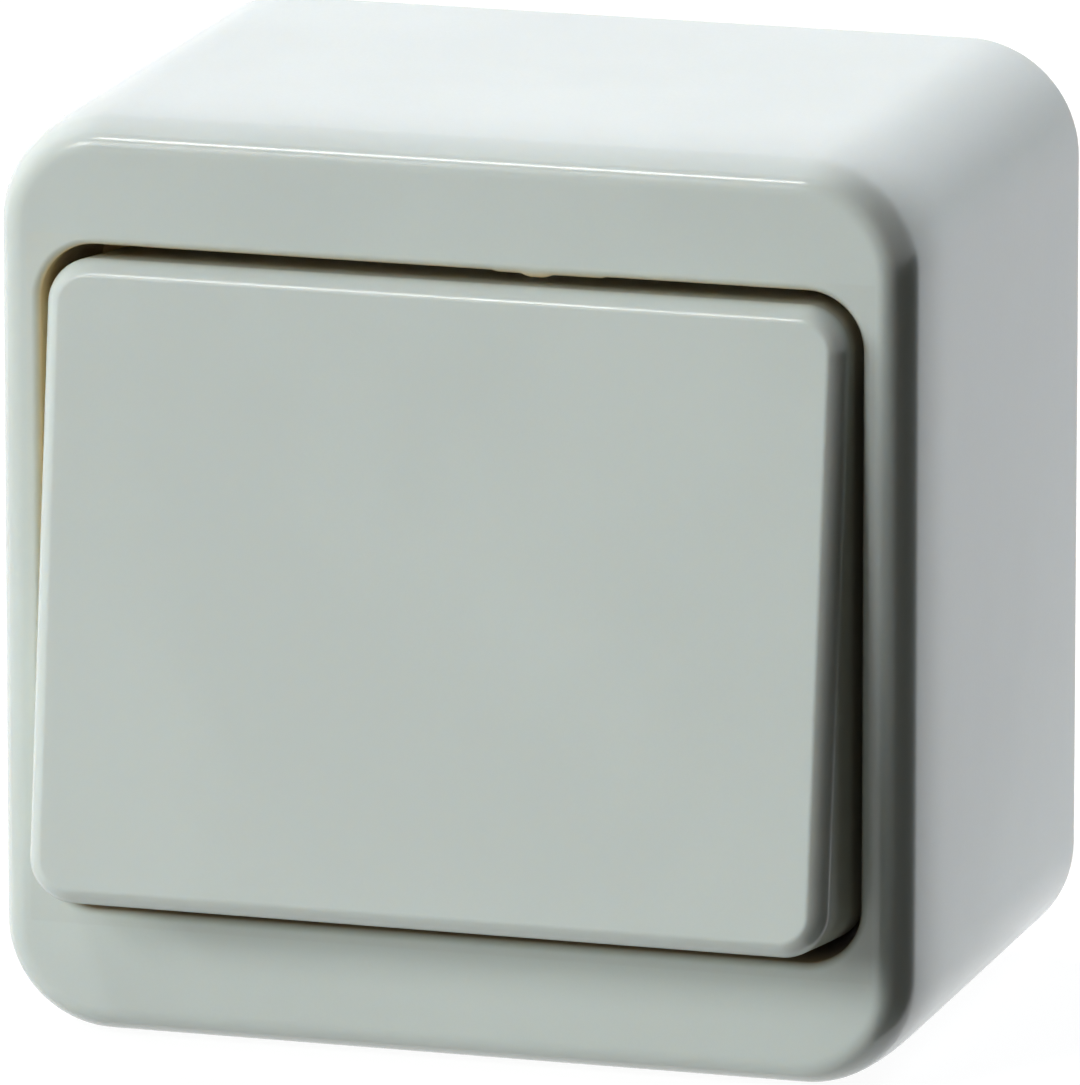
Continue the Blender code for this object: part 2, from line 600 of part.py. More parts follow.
def make_plunger(axis):
    """Round-nosed pin that stands out of the boss and bears on the lever."""
    nose = PLUNGER_REACH - PLUNGER_RADIUS
    turns = [radians(90 * step / FILLET_STEPS) for step in range(FILLET_STEPS)]
    profile = [(PLUNGER_RADIUS * cos(turn), -nose - PLUNGER_RADIUS * sin(turn)) for turn in reversed(turns)]
    profile.append((PLUNGER_RADIUS, -(PLUNGER_REACH - PLUNGER_LENGTH)))
    return turned("plunger", profile, material=STEEL, parent=axis)


def make_spring(axis):
    """Compression spring between the bore's end and the plunger."""
    near = PIN_RADIUS - SEAT_GAP - SPRING_WIRE / 2
    far = -(PLUNGER_REACH - PLUNGER_LENGTH) + SEAT_GAP + SPRING_WIRE / 2
    radius = PLUNGER_RADIUS - SPRING_WIRE / 2
    count = SPRING_TURNS * COIL_STEPS
    wire = bpy.data.curves.new("toggle_spring", 'CURVE')
    wire.dimensions = '3D'
    path = wire.splines.new('POLY')
    path.points.add(count)
    for step, point in enumerate(path.points):
        turn = 2 * pi * step / COIL_STEPS
        out = near + (far - near) * step / count
        point.co = (radius * cos(turn), -out, radius * sin(turn), 1.0)
    wire.bevel_depth = SPRING_WIRE / 2
    wire.bevel_resolution = 2
    wire.use_fill_caps = True
    wire.materials.append(finish(*STEEL))
    spring = bpy.data.objects.new("toggle_spring", wire)
    bpy.context.collection.objects.link(spring)
    spring.parent = axis
    return spring


def make_lever_group():
    """Contact lever and its two rivets on the knife-edge axis, closed on the lower contact."""
    axis = bpy.data.objects.new("lever_axis", None)
    bpy.context.collection.objects.link(axis)
    axis.location = (0.0, -LEVER_AXIS_OUT, 0.0)
    axis.rotation_euler = (radians(LEVER_TILT), 0.0, 0.0)
    height = 2 * (LEVER_ARM + LEVER_TAIL)
    outline = rounded_outline(LEVER_WIDTH, height, LEVER_TAIL)
    lever = slab("contact_lever", outline, 0.0, LEVER_THICKNESS, BRASS, axis)
    for side, label in ((-1, "left"), (1, "right")):
        span = sorted((side * LEVER_WIDTH / 2, side * (LEVER_WIDTH / 2 - CHEEK_THICKNESS)))
        out = (-CHEEK_DROP, LEVER_THICKNESS / 2)
        rise = (-CHEEK_LENGTH / 2, CHEEK_LENGTH / 2)
        join(lever, block(f"lever_cheek_{label}", span, out, rise, parent=axis))
    for side, label in ((-1, "lower"), (1, "upper")):
        place = (0.0, side * LEVER_ARM)
        hole = circle_outline(CONTACT_SHANK + CONTACT_GAP, place)
        cut_away(lever, slab(f"lever_hole_{label}", hole, -OVERCUT, LEVER_THICKNESS + OVERCUT, parent=axis))
        contact_rivet(f"moving_contact_{label}", place, 0.0, -1, LEVER_THICKNESS, axis)


def contact_rivet(name, place, seat, head_way, sheet, parent=None):
    """Rivet through a sheet, its head on the seat side and its upset on the other."""
    head_base = seat + head_way * CONTACT_GAP
    head_face = head_base + head_way * CONTACT_HEAD
    upset_base = seat - head_way * (sheet + CONTACT_GAP)
    upset_face = upset_base - head_way * CONTACT_UPSET
    crown = head_face - head_way * CONTACT_CROWN
    profile = [
        (CONTACT_RADIUS - CONTACT_CROWN, head_face), (CONTACT_RADIUS, crown),
        (CONTACT_RADIUS, head_base), (CONTACT_SHANK, head_base), (CONTACT_SHANK, upset_base),
        (UPSET_RADIUS, upset_base), (UPSET_RADIUS, upset_face)]
    return turned(name, profile, place, SILVER, parent, RIVET_STEPS)


def make_terminal(label, across, side):
    """Clamp saddle and slotted screw of one terminal."""
    place = (across, side * TERMINAL_RISE)
    saddle_back = STRIP_FRONT + WIRE_ROOM
    saddle_front = saddle_back + CLAMP_THICKNESS
    clear = TERMINAL_SCREW_RADIUS + HOLE_GAP
    half = TERMINAL_ROOM_WIDTH / 2 - CLAMP_GAP
    depth = TERMINAL_HALF_ROOM - CLAMP_GAP
    outline = rounded_outline(2 * half, 2 * depth, SEAT_GAP, place)
    clamp = slab(f"terminal_clamp_{label}", outline, saddle_back - CLAMP_LIP, saddle_front, STEEL)
    groove = (place[0] - half + CLAMP_THICKNESS, place[0] + half - CLAMP_THICKNESS)
    rise = (place[1] - depth - OVERCUT, place[1] + depth + OVERCUT)
    groove_depth = (saddle_back - CLAMP_LIP - OVERCUT, saddle_back)
    cut_away(clamp, block(f"clamp_groove_{label}", groove, groove_depth, rise))
    hole = circle_outline(clear, place)
    cut_away(clamp, slab(f"clamp_hole_{label}", hole, saddle_back - OVERCUT, saddle_front + OVERCUT))
    seat = saddle_front + SEAT_GAP
    head = [
        (TERMINAL_HEAD_RADIUS, seat), (TERMINAL_HEAD_RADIUS, seat + TERMINAL_HEAD - HEAD_EDGE),
        (TERMINAL_HEAD_RADIUS - HEAD_EDGE, seat + TERMINAL_HEAD)]
    tip = STRIP_BACK - TERMINAL_SCREW_REACH
    make_screw(f"terminal_screw_{label}", place, TERMINAL_SCREW_RADIUS, tip, seat, head)


def make_screw(name, place, shank, tip, neck, head):
    """Slotted screw: a chamfered point, a shank up to the neck and a head profile above it."""
    profile = [(shank - SCREW_POINT, tip), (shank, tip + SCREW_POINT), (shank, neck)] + head
    screw = turned(name, profile, place, STEEL)
    top = head[-1][1]
    reach = max(radius for radius, out in head) + OVERCUT
    span = (place[0] - reach, place[0] + reach)
    rise = (place[1] - DRIVER_SLOT / 2, place[1] + DRIVER_SLOT / 2)
    cut_away(screw, block(f"{name}_slot", span, (top - DRIVER_SLOT_DEPTH, top + OVERCUT), rise))
    return screw


def make_strips():
    """Terminal strips with their fixed contacts, and the common strip with its knife-edge post."""
    start = LEVER_ARM - CONTACT_RADIUS - CONTACT_GAP - SEAT_GAP
    end = SOCKET_HEIGHT / 2 - SEAT_GAP
    screw_hole = TERMINAL_SCREW_RADIUS + HOLE_GAP
    rivet_hole = CONTACT_SHANK + CONTACT_GAP
    for side, label in ((1, "upper"), (-1, "lower")):
        centre = (0.0, side * (start + end) / 2)
        outline = rounded_outline(STRIP_WIDTH, end - start, SEAT_GAP, centre)
        strip = slab(f"terminal_strip_{label}", outline, STRIP_BACK, STRIP_FRONT, BRASS)
        for radius, rise, use in ((screw_hole, TERMINAL_RISE, "screw"), (rivet_hole, LEVER_ARM, "rivet")):
            hole = circle_outline(radius, (0.0, side * rise))
            tool = slab(f"strip_{use}_hole_{label}", hole, STRIP_BACK - OVERCUT, STRIP_FRONT + OVERCUT)
            cut_away(strip, tool)
        contact_rivet(f"fixed_contact_{label}", (0.0, side * LEVER_ARM), STRIP_FRONT, 1, STRIP_THICKNESS)
        make_terminal(label, 0.0, side)
    make_common_strip(end, screw_hole)
    make_terminal("common", COMMON_TERMINAL_SIDE, 1)


def make_common_strip(end, screw_hole):
    """L-shaped strip from the lever's knife-edge to the third terminal."""
    half = STRIP_WIDTH / 2
    inner = COMMON_TERMINAL_SIDE - half
    outer = COMMON_TERMINAL_SIDE + half
    left = -(LEVER_WIDTH / 2)
    outline = [(left, -half), (outer, -half), (outer, end), (inner, end), (inner, half), (left, half)]
    common = slab("common_strip", outline, STRIP_BACK, STRIP_FRONT, BRASS)
    reach = LEVER_WIDTH / 2 - CHEEK_THICKNESS - HOLE_GAP
    edge = LEVER_AXIS_OUT - SEAT_GAP
    shoulder = edge - STRIP_THICKNESS
    ring = [
        (STRIP_BACK, -STRIP_THICKNESS), (shoulder, -STRIP_THICKNESS), (edge, 0.0),
        (shoulder, STRIP_THICKNESS), (STRIP_BACK, STRIP_THICKNESS)]
    rings = [[(across, -out, up) for out, up in ring] for across in (-reach, reach)]
    join(common, skin("knife_edge_post", rings))
    hole = circle_outline(screw_hole, (COMMON_TERMINAL_SIDE, TERMINAL_RISE))
    cut_away(common, slab("common_screw_hole", hole, STRIP_BACK - OVERCUT, STRIP_FRONT + OVERCUT))
    return common


def make_long_screws():
    """Screws of the hood and of the contact block."""
    for side, label in ((-1, "left"), (1, "right")):
        seat = RECESS_FRONT + SEAT_GAP
        head = [
            (COVER_HEAD_RADIUS, seat), (COVER_HEAD_RADIUS, seat + COVER_HEAD - HEAD_EDGE),
            (COVER_HEAD_RADIUS - HEAD_EDGE, seat + COVER_HEAD)]
        tip = RECESS_FRONT - COVER_SCREW_REACH
        make_screw(f"cover_screw_{label}", (side * PILLAR_SIDE, 0.0), SCREW_RADIUS, tip, seat, head)
        neck = FRAME_FRONT - SOCKET_HEAD_SINK
        tip = BASE_THICKNESS + SOCKET_BOSS_HEIGHT - SOCKET_SCREW_REACH
        head = [(SOCKET_HEAD_RADIUS, FRAME_FRONT)]
        make_screw(f"socket_screw_{label}", socket_screw_place(side), SCREW_RADIUS, tip, neck, head)


def main():
    clear_scene()
    make_cover()
    make_base()
    make_socket()
    make_bearing_frame()
    make_rocker_group()
    make_lever_group()
    make_strips()
    make_long_screws()


if __name__ == "__main__":
    main()
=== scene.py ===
"""Looks of a surface mounted light switch with one wide rocker, laid out as an add-on.

The wall lies in the plane y = 0 and the rocker faces -Y, with +Z up and +X to the right.
Heights above the wall are called "out": a point that is out by 10 mm has y = -0.010.
"""
from math import cos, exp, pi, radians, sin, tan

import bmesh
import bpy
from bpy.props import FloatProperty, FloatVectorProperty, PointerProperty
from bpy.types import Operator, Panel, PropertyGroup
from mathutils import Matrix, Vector


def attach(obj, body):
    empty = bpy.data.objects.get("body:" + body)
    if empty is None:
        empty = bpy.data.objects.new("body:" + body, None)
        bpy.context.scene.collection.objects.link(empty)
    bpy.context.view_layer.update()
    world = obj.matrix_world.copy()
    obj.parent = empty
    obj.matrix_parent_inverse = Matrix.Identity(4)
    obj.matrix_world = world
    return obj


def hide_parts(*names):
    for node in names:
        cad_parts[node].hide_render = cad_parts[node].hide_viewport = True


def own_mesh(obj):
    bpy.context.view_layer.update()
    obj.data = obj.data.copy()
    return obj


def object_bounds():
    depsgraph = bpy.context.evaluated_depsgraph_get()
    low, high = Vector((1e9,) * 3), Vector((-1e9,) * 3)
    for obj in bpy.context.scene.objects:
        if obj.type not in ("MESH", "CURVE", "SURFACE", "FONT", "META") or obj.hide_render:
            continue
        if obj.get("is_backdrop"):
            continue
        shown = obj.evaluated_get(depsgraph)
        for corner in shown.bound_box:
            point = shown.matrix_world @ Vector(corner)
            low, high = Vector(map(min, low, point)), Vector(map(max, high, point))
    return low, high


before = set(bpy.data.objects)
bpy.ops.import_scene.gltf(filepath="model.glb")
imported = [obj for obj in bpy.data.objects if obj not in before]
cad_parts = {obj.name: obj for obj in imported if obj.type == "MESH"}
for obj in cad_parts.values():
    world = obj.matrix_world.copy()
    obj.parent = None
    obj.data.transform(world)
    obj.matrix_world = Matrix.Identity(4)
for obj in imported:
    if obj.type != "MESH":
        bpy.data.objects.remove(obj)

bl_info = {
    "name": "Surface mounted light switch",
    "version": (1, 0, 0),
    "blender": (4, 5, 0),
    "location": "3D View > Sidebar > Switch",
    "description": "Builds the visible pieces, finishes and stage of a light switch",
    "category": "Add Mesh",
}

# Fixed layout of the switch, as in its solids
BODY_CENTRE_OUT = 0.0218
FRONT_WALL = 0.0025
RECESS_FRONT = 0.0296
RECESS_BACK = 0.0276
RECESS_WALL = 0.0016
WINDOW_SIZE = (0.0292, 0.0210, 0.0020)
PIVOT_OUT = 0.0423
FACE_ABOVE_AXIS = 0.0060
PILLAR_SIDE = 0.0217
TERMINALS = ((0.0, 0.0168), (0.0, -0.0168), (0.0110, 0.0168))
BLOCK_SCREWS = ((-0.0125, 0.0092), (0.0125, -0.0092))
SPRING_ENDS = (0.00107, -0.00897)
SPRING_RADIUS = 0.00162
SPRING_WIRE = 0.00055
SPRING_TURNS = 8.0
HOLE_RADIUS = 0.00175
BREAKOUT_WIDTH = 0.0160
BREAKOUT_HEIGHT = 0.0130
BREAKOUT_SKIN = 0.0010

# Screws: the thread's height over its pitch, the point's length over the shank's radius, the point's end over
# the core, and the turn from one screw's slot to the next
THREAD_HEIGHT = 0.42
POINT_LENGTH = 0.5
POINT_END = 0.35
SLOT_TURN = 1.9

# Lumps of the materials' noise, as one over their size in metres, and how deep they go
CLOUD_SCALE = 45.0
GRAIN_SCALE = 5200.0
WAVE_SCALE = 620.0
PEEL_DEPTH = 0.00003
SHELL_PEEL = 0.10
STREAK_SCALE = 4200.0
STREAK_STRETCH = 0.06
STREAK_DEPTH = 0.00001
STAIN_SCALE = 260.0
PIT_SCALE = 2400.0

# Light inside the white plastic: its share, how far it spreads, and how far in red, green and blue
GLOW_SHARE = 0.5
GLOW_DEPTH = 0.0010
GLOW_RADII = (1.0, 0.55, 0.25)

# Where the painted shade of the gaps sets in: across, up, and how far behind the front
RIGHT_GAP = (0.0255, 0.0285)
LOWER_GAP = (-0.0215, -0.0195)
OPENING_DEPTHS = (-0.0001, 0.0006)
SKIRT_DEPTHS = (0.0006, 0.0030)

# Lamps: azimuth, elevation, width over distance, colour, and whether they show in the gloss
LAMPS = {
    "key": (-52.0, 16.0, 0.38, (0.96, 1.0, 0.975), False),
    "front": (-31.0, 32.5, 0.26, (1.0, 1.0, 1.0), True),
    "upper": (-32.0, 57.0, 0.11, (1.0, 0.99, 0.98), True),
    "rear": (168.0, 10.0, 0.28, (0.85, 0.908, 1.0), False),
    "corner": (150.0, 45.0, 0.30, (0.93, 0.97, 1.0), False),
    "top": (-132.0, 48.0, 0.40, (0.945, 0.918, 1.0), False),
}
LAMP_DISTANCE = 6.0

# Floor and backdrop: the ways in which they turn dark or bright, with their limits, and their levels
CARD_WAY = (0.985, -0.174)
CARD_LIMITS = (0.30, 0.50)
CARD_DARKNESS = 0.98
REAR_WAY = (0.342, 0.940)
REAR_LIMITS = (0.70, 0.90)
DULL_LEVELS = (0.38, 0.56)
FLOOR_GREY = 0.18
FLOOR_GLOW = 0.91
BACKDROP_LIMITS = (0.72, 0.92)
BACKDROP_TOP = (0.40, 0.60)

# Where the camera looks, to the right of the hood's middle and above it
AIM_ASIDE = 0.00010
AIM_UP = -0.00041

# Facets
CORNER_STEPS = 20
FILLET_STEPS = 14
SHOULDER_STEPS = 8
SHOULDER_ANGLE = 36.0
CREASE_STEPS = 8
CREASE_ANGLE = 60.0
EASE_STEPS = 12
EASE_ANGLE = 6.0
EASE_POWER = 3.0
EDGE_STEPS = 8
SIDE_STATIONS = 6
NIB_STATIONS = 72
NIB_RINGS = 8
NIB_RING_STEP = 0.0003
ROUND_STEPS = 48
SHANK_STEPS = 24
THREAD_STEPS = 20
SPRING_STEPS = 240
WIRE_STEPS = 12
SHARP_EDGE = 32.0


def millimetres(name, description, default):
    """A length that shows in the panel."""
    return FloatProperty(name=name, description=description, default=default, min=0.0, unit='LENGTH', precision=5)


def colour(name, description, default):
    """A colour that shows in the panel."""
    return FloatVectorProperty(
        name=name, description=description, default=default, size=3, min=0.0, max=1.0, subtype='COLOR')


def factor(name, description, default):
    """A share between none and all."""
    return FloatProperty(name=name, description=description, default=default, min=0.0, max=1.0, subtype='FACTOR')


def brightness(name, description, default):
    """The level of a light."""
    return FloatProperty(name=name, description=description, default=default, min=0.0)


def angle(name, description, default):
    """An angle that shows in the panel, given in degrees."""
    return FloatProperty(name=name, description=description, default=radians(default), subtype='ANGLE')


class SwitchSizes(PropertyGroup):
    """Sizes of the visible mouldings."""
    hood_width: millimetres("Hood width", "Width of the hood across the wall", 0.0660)
    hood_height: millimetres("Hood height", "Height of the hood up the wall", 0.0655)
    hood_depth: millimetres("Hood depth", "How far the hood stands out of the wall", 0.0436)
    hood_corner: millimetres("Hood corner", "Radius of the hood's four upright corners", 0.0080)
    hood_fillet: millimetres("Hood fillet", "Radius of the edge round the hood's front", 0.0017)
    hood_shoulder: millimetres("Hood shoulder", "Wider radius where that edge turns into the sides", 0.0048)
    hood_ease: millimetres("Hood ease", "Depth over which it then eases into the flat sides", 0.0080)
    hood_wall: millimetres("Hood wall", "Thickness of the hood's sides", 0.0022)
    opening_width: millimetres("Opening width", "Width of the opening for the rocker", 0.0588)
    opening_height: millimetres("Opening height", "Height of the opening for the rocker", 0.0471)
    opening_corner: millimetres("Opening corner", "Radius of the opening's corners", 0.0040)
    opening_rise: millimetres("Opening rise", "How far the opening sits above the middle", 0.0002)
    opening_aside: millimetres("Opening aside", "How far the opening sits to the right of the middle", 0.0001)
    opening_fillet: millimetres("Opening fillet", "Radius of the edge round the opening", 0.0006)
    nib_centre: millimetres("Nib place", "Middle of the nib, to the right of the middle", 0.0072)
    nib_width: millimetres("Nib width", "Width of the nib on the opening's top edge", 0.0078)
    nib_proud: millimetres("Nib drop", "How far the nib stands into the gap", 0.00012)
    nib_tip_centre: millimetres("Nib bulge place", "Middle of the nib's bulge", 0.0063)
    nib_tip_width: millimetres("Nib bulge width", "Width of the nib's bulge", 0.0024)
    nib_tip_proud: millimetres("Nib bulge drop", "How far the nib's bulge stands into the gap", 0.00034)
    rocker_width: millimetres("Rocker width", "Width of the rocker", 0.05720)
    rocker_height: millimetres("Rocker height", "Height of the rocker", 0.04474)
    rocker_rise: millimetres("Rocker rise", "How far the rocker's cap sits above its pivot", 0.00022)
    rocker_aside: millimetres("Rocker play", "How far the rocker sits to the right in its opening", 0.00025)
    rocker_corner: millimetres("Rocker corner", "Radius of the rocker's corners", 0.0032)
    rocker_fillet: millimetres("Rocker fillet", "Radius where the rocker's sides turn to its face", 0.0020)
    rocker_crease: millimetres("Rocker crease", "Small radius where that edge meets the face", 0.0006)
    rocker_wall: millimetres("Rocker wall", "Thickness of the rocker's shell", 0.0020)
    rocker_skirt: millimetres("Rocker skirt", "Depth of the rocker's sides", 0.0110)
    rocker_tilt: angle("Rocker tilt", "Tilt of the rocker with its top pressed", 7.0)


class SwitchFinishes(PropertyGroup):
    """Colours and gloss of the materials, and the painted shade in the gaps."""
    shell: colour("White plastic", "Hood and rocker", (0.655, 0.716, 0.690))
    shell_roughness: factor("White plastic roughness", "Gloss of the hood and rocker", 0.20)
    # Painted shade, not the plastic's own colour: warm on the sides of the hood's opening, darker in the gaps at the
    # right and at the bottom, and faint on the rocker's skirt
    gap: colour("Painted warm shade in the gaps", "Sides of the hood's opening, down in the gap", (0.92, 0.72, 0.42))
    skirt: colour("Painted shade on the rocker's skirt", "Sides of the rocker, behind its edge", (0.66, 0.695, 0.605))
    painted_dark_gap_shade: colour("Painted darker shade in the gaps", "The same at the right and at the bottom", (0.26, 0.20, 0.13))
    grey: colour("Grey plastic", "Base plate, bearing frame and cradle", (0.45, 0.46, 0.45))
    dark: colour("Dark plastic", "Contact block", (0.030, 0.030, 0.032))
    brass: colour("Brass", "Strips and contact lever", (0.72, 0.52, 0.21))
    silver: colour("Contact silver", "Contact rivets", (0.84, 0.83, 0.80))
    zinc: colour("Zinc plated steel", "Screws, clamps, plunger and spring", (0.60, 0.62, 0.64))


class SwitchStage(PropertyGroup):
    """Camera and light."""
    azimuth: angle("Camera azimuth", "Turn of the camera to the right of straight ahead", 16.85)
    elevation: angle("Camera elevation", "Height of the camera above the horizon", 13.35)
    distance: FloatProperty(
        name="Camera distance", description="From the target to the camera", default=1.1878, unit='LENGTH')
    lens: FloatProperty(name="Lens", description="Focal length in millimetres", default=565.2, min=1.0)
    key_level: brightness("Key light", "Level of the soft light from the left", 0.54)
    front_level: brightness("Front light", "Level of the small light from the left, above the camera", 0.205)
    upper_level: brightness("Upper light", "Level of the small light from the upper left", 0.13)
    rear_level: brightness("Rear light", "Level of the light from behind, low", 1.03)
    corner_level: brightness("Corner light", "Level of the soft light from behind, high at the right", 0.20)
    top_level: brightness("Top light", "Level of the soft light from behind, high at the left", 0.70)
    back_level: brightness("Backdrop", "Brightness of the wide pale backdrop", 0.35)
    fill_level: brightness("Fill", "Brightness of the room in front", 0.04)


class Socket:
    """A node's output inside an expression: arithmetic on it adds Math nodes."""

    def __init__(self, recipe, socket):
        self.recipe = recipe
        self.socket = socket

    def math(self, operation, *values, clamp=False):
        """The result of a Math node on the given values."""
        settings = {"operation": operation, "use_clamp": clamp}
        return self.recipe.take('ShaderNodeMath', settings, dict(enumerate(values)))

    def __add__(self, other):
        return self.math('ADD', self, other)

    def __sub__(self, other):
        return self.math('SUBTRACT', self, other)

    def __rsub__(self, other):
        return self.math('SUBTRACT', other, self)

    def __mul__(self, other):
        return self.math('MULTIPLY', self, other)

    def __truediv__(self, other):
        return self.math('DIVIDE', self, other)

    def held(self):
        """The value kept between none and all."""
        return self.math('ADD', self, 0.0, clamp=True)

    __radd__ = __add__


class Recipe:
    """Adds nodes to one tree and links them."""

    def __init__(self, tree):
        self.tree = tree

    def node(self, kind, settings=None, inputs=None):
        """A new node with its settings, then its sockets' values or links."""
        made = self.tree.nodes.new(kind)
        for name, value in (settings or {}).items():
            setattr(made, name, value)
        for key, value in (inputs or {}).items():
            if isinstance(value, Socket):
                self.tree.links.new(value.socket, made.inputs[key])
            else:
                made.inputs[key].default_value = value
        return made

    def take(self, kind, settings=None, inputs=None, output=0):
        """One output of a new node."""
        return Socket(self, self.node(kind, settings, inputs).outputs[output])

    def between(self, share, first, second):
        """A colour between two others."""
        colours = {0: share, 6: first, 7: second}
        return self.take('ShaderNodeMix', {"data_type": 'RGBA'}, colours, 2)

    def split(self, vector):
        """A vector's three parts."""
        return [Socket(self, part) for part in self.node('ShaderNodeSeparateXYZ', {}, {0: vector}).outputs]

    def step(self, value, low, high, start=0.0, end=1.0):
        """A smooth rise from start to end while the value goes from low to high."""
        ranges = {0: value, 1: low, 2: high, 3: start, 4: end}
        return self.take('ShaderNodeMapRange', {"interpolation_type": 'SMOOTHSTEP'}, ranges)


def rgba(shade, gain=1.0):
    """A colour with its alpha, made lighter or darker."""
    return tuple(min(part * gain, 1.0) for part in shade) + (1.0,)


def new_material(name):
    """An empty material with its recipe and its shader."""
    made = bpy.data.materials.new(name)
    made.use_nodes = True
    return made, Recipe(made.node_tree), made.node_tree.nodes["Principled BSDF"]


def link(recipe, shader, **inputs):
    """Gives a shader its sockets: a link for what varies, a value for what doesn't."""
    for name, value in inputs.items():
        socket = shader.inputs[name.replace("_", " ")]
        if isinstance(value, Socket):
            recipe.tree.links.new(value.socket, socket)
        else:
            socket.default_value = value


def noise(recipe, place, scale, detail, roughness):
    """Value of a noise whose lumps are about one over the scale in metres."""
    return recipe.take(
        'ShaderNodeTexNoise', {"noise_dimensions": '3D'},
        {"Vector": place, "Scale": scale, "Detail": detail, "Roughness": roughness})


def moulded_plastic(name, shade, roughness, peel, glow=0.0, painted_shade_tone=None):
    """Injection moulded plastic: clouded colour, faint waves and fine grain in the gloss, and painted warm shade in
    the gaps.
    """
    made, recipe, shader = new_material(name)
    place = recipe.take('ShaderNodeTexCoord', output=3)
    cloud = noise(recipe, place, CLOUD_SCALE, 2.0, 0.55)
    grain = noise(recipe, place, GRAIN_SCALE, 1.0, 0.6)
    waves = noise(recipe, place, WAVE_SCALE, 1.0, 0.5)
    tone = recipe.step(cloud + (grain - 0.5) * 0.15, 0.35, 0.65)
    base = recipe.between(tone, rgba(shade, 0.982), rgba(shade, 1.016))
    # Painted shade: the gaps' colour laid over the plastic's own where the mask reaches
    if painted_shade_tone is not None:
        share, painted_tone = painted_shade_tone(recipe, place)
        base = recipe.between(share, base, painted_tone)
    height = waves * 0.7 + grain * 0.3
    normal = recipe.take('ShaderNodeBump', {}, {"Strength": peel, "Distance": PEEL_DEPTH, "Height": height})
    gloss = (cloud - 0.5) * 0.05 + (grain - 0.5) * 0.06 + roughness
    shader.subsurface_method = 'BURLEY'
    link(recipe, shader, Base_Color=base, Roughness=gloss, Normal=normal, Subsurface_Weight=glow,
         Subsurface_Radius=GLOW_RADII, Subsurface_Scale=GLOW_DEPTH)
    return made


def painted_gap_shade_colour(recipe, place):
    """Painted shade in the gaps: a warm colour, darker in those at the right and at the bottom."""
    finishes = bpy.context.scene.switch_finishes
    across, _, up = recipe.split(place)
    beside = recipe.step(across, *RIGHT_GAP)
    below = recipe.step(up, *LOWER_GAP, 1.0, 0.0)
    dark = beside.math('MAXIMUM', beside, below)
    return recipe.between(dark, rgba(finishes.gap), rgba(finishes.painted_dark_gap_shade))


def opening_painted_shade(recipe, place):
    """The share of the painted gap shade, none on the hood's front and all on the sides of its opening, and that
    painted colour.
    """
    sizes = bpy.context.scene.switch_sizes
    across, along, up = recipe.split(place)
    across = across - sizes.opening_aside
    edge = 0.0009
    beside = recipe.step(across.math('ABSOLUTE', across), *band(sizes.opening_width / 2 + edge), 1.0, 0.0)
    above = recipe.step(up.math('ABSOLUTE', up), *band(sizes.opening_height / 2 + edge), 1.0, 0.0)
    behind = [depth - sizes.hood_depth for depth in OPENING_DEPTHS]
    deep = recipe.step(along, *behind)
    return beside * above * deep, painted_gap_shade_colour(recipe, place)


def skirt_painted_shade(recipe, place):
    """The share of the painted skirt shade, none on the rocker's face and all well behind it, and that painted colour.
    """
    tilt = bpy.context.scene.switch_sizes.rocker_tilt
    from_axis = recipe.take('ShaderNodeVectorMath', {"operation": 'ADD'}, {0: place, 1: (0.0, PIVOT_OUT, 0.0)})
    way = (0.0, -cos(tilt), sin(tilt))
    out = recipe.take('ShaderNodeVectorMath', {"operation": 'DOT_PRODUCT'}, {0: from_axis, 1: way}, output=1)
    # Painted shade: a faintly warmer colour well behind the rocker's face
    share = recipe.step(FACE_ABOVE_AXIS - out, *SKIRT_DEPTHS)
    return share, rgba(bpy.context.scene.switch_finishes.skirt)


def band(value, reach=0.0001):
    """A narrow range about a value."""
    return value - reach, value + reach


def worked_metal(name, shade, roughness, streak):
    """Rolled or plated metal: long fine streaks, stains and small pits."""
    made, recipe, shader = new_material(name)
    place = recipe.take('ShaderNodeTexCoord', output=3)
    drawn = recipe.take('ShaderNodeMapping', {}, {"Vector": place, "Scale": (1.0, 1.0, STREAK_STRETCH)})
    lines = noise(recipe, drawn, STREAK_SCALE, 3.0, 0.6)
    stain = noise(recipe, place, STAIN_SCALE, 4.0, 0.6)
    pits = recipe.step(noise(recipe, place, PIT_SCALE, 2.0, 0.5), 0.64, 0.74)
    base = recipe.between(recipe.step(stain, 0.35, 0.7), rgba(shade, 0.86), rgba(shade, 1.05))
    base = recipe.between(pits * 0.5, base, rgba(shade, 0.5))
    gloss = roughness + (stain - 0.5) * 0.16 + (lines - 0.5) * streak + pits * 0.12
    height = lines * 0.6 - pits * 0.8
    normal = recipe.take('ShaderNodeBump', {}, {"Strength": 0.35, "Distance": STREAK_DEPTH, "Height": height})
    link(recipe, shader, Base_Color=base, Roughness=gloss, Metallic=1.0, Normal=normal)
    return made


def material(name):
    """One of the switch's finishes, made at its first use."""
    made = bpy.data.materials.get(name)
    if made is not None:
        return made
    finishes = bpy.context.scene.switch_finishes
    shell = (finishes.shell, finishes.shell_roughness, SHELL_PEEL, GLOW_SHARE)
    # The white plastic of the hood and of the rocker carries painted shade in the gaps and on the rocker's skirt
    plastics = {
        "shell_white": (*shell, opening_painted_shade),
        "rocker_white": (*shell, skirt_painted_shade),
        "base_grey": (finishes.grey, 0.48, 0.30),
        "block_dark": (finishes.dark, 0.42, 0.25)}
    metals = {
        "strip_brass": (finishes.brass, 0.30, 0.14),
        "rivet_silver": (finishes.silver, 0.24, 0.06),
        "screw_zinc": (finishes.zinc, 0.34, 0.10)}
    if name in plastics:
        return moulded_plastic(name, *plastics[name])
    return worked_metal(name, *metals[name])


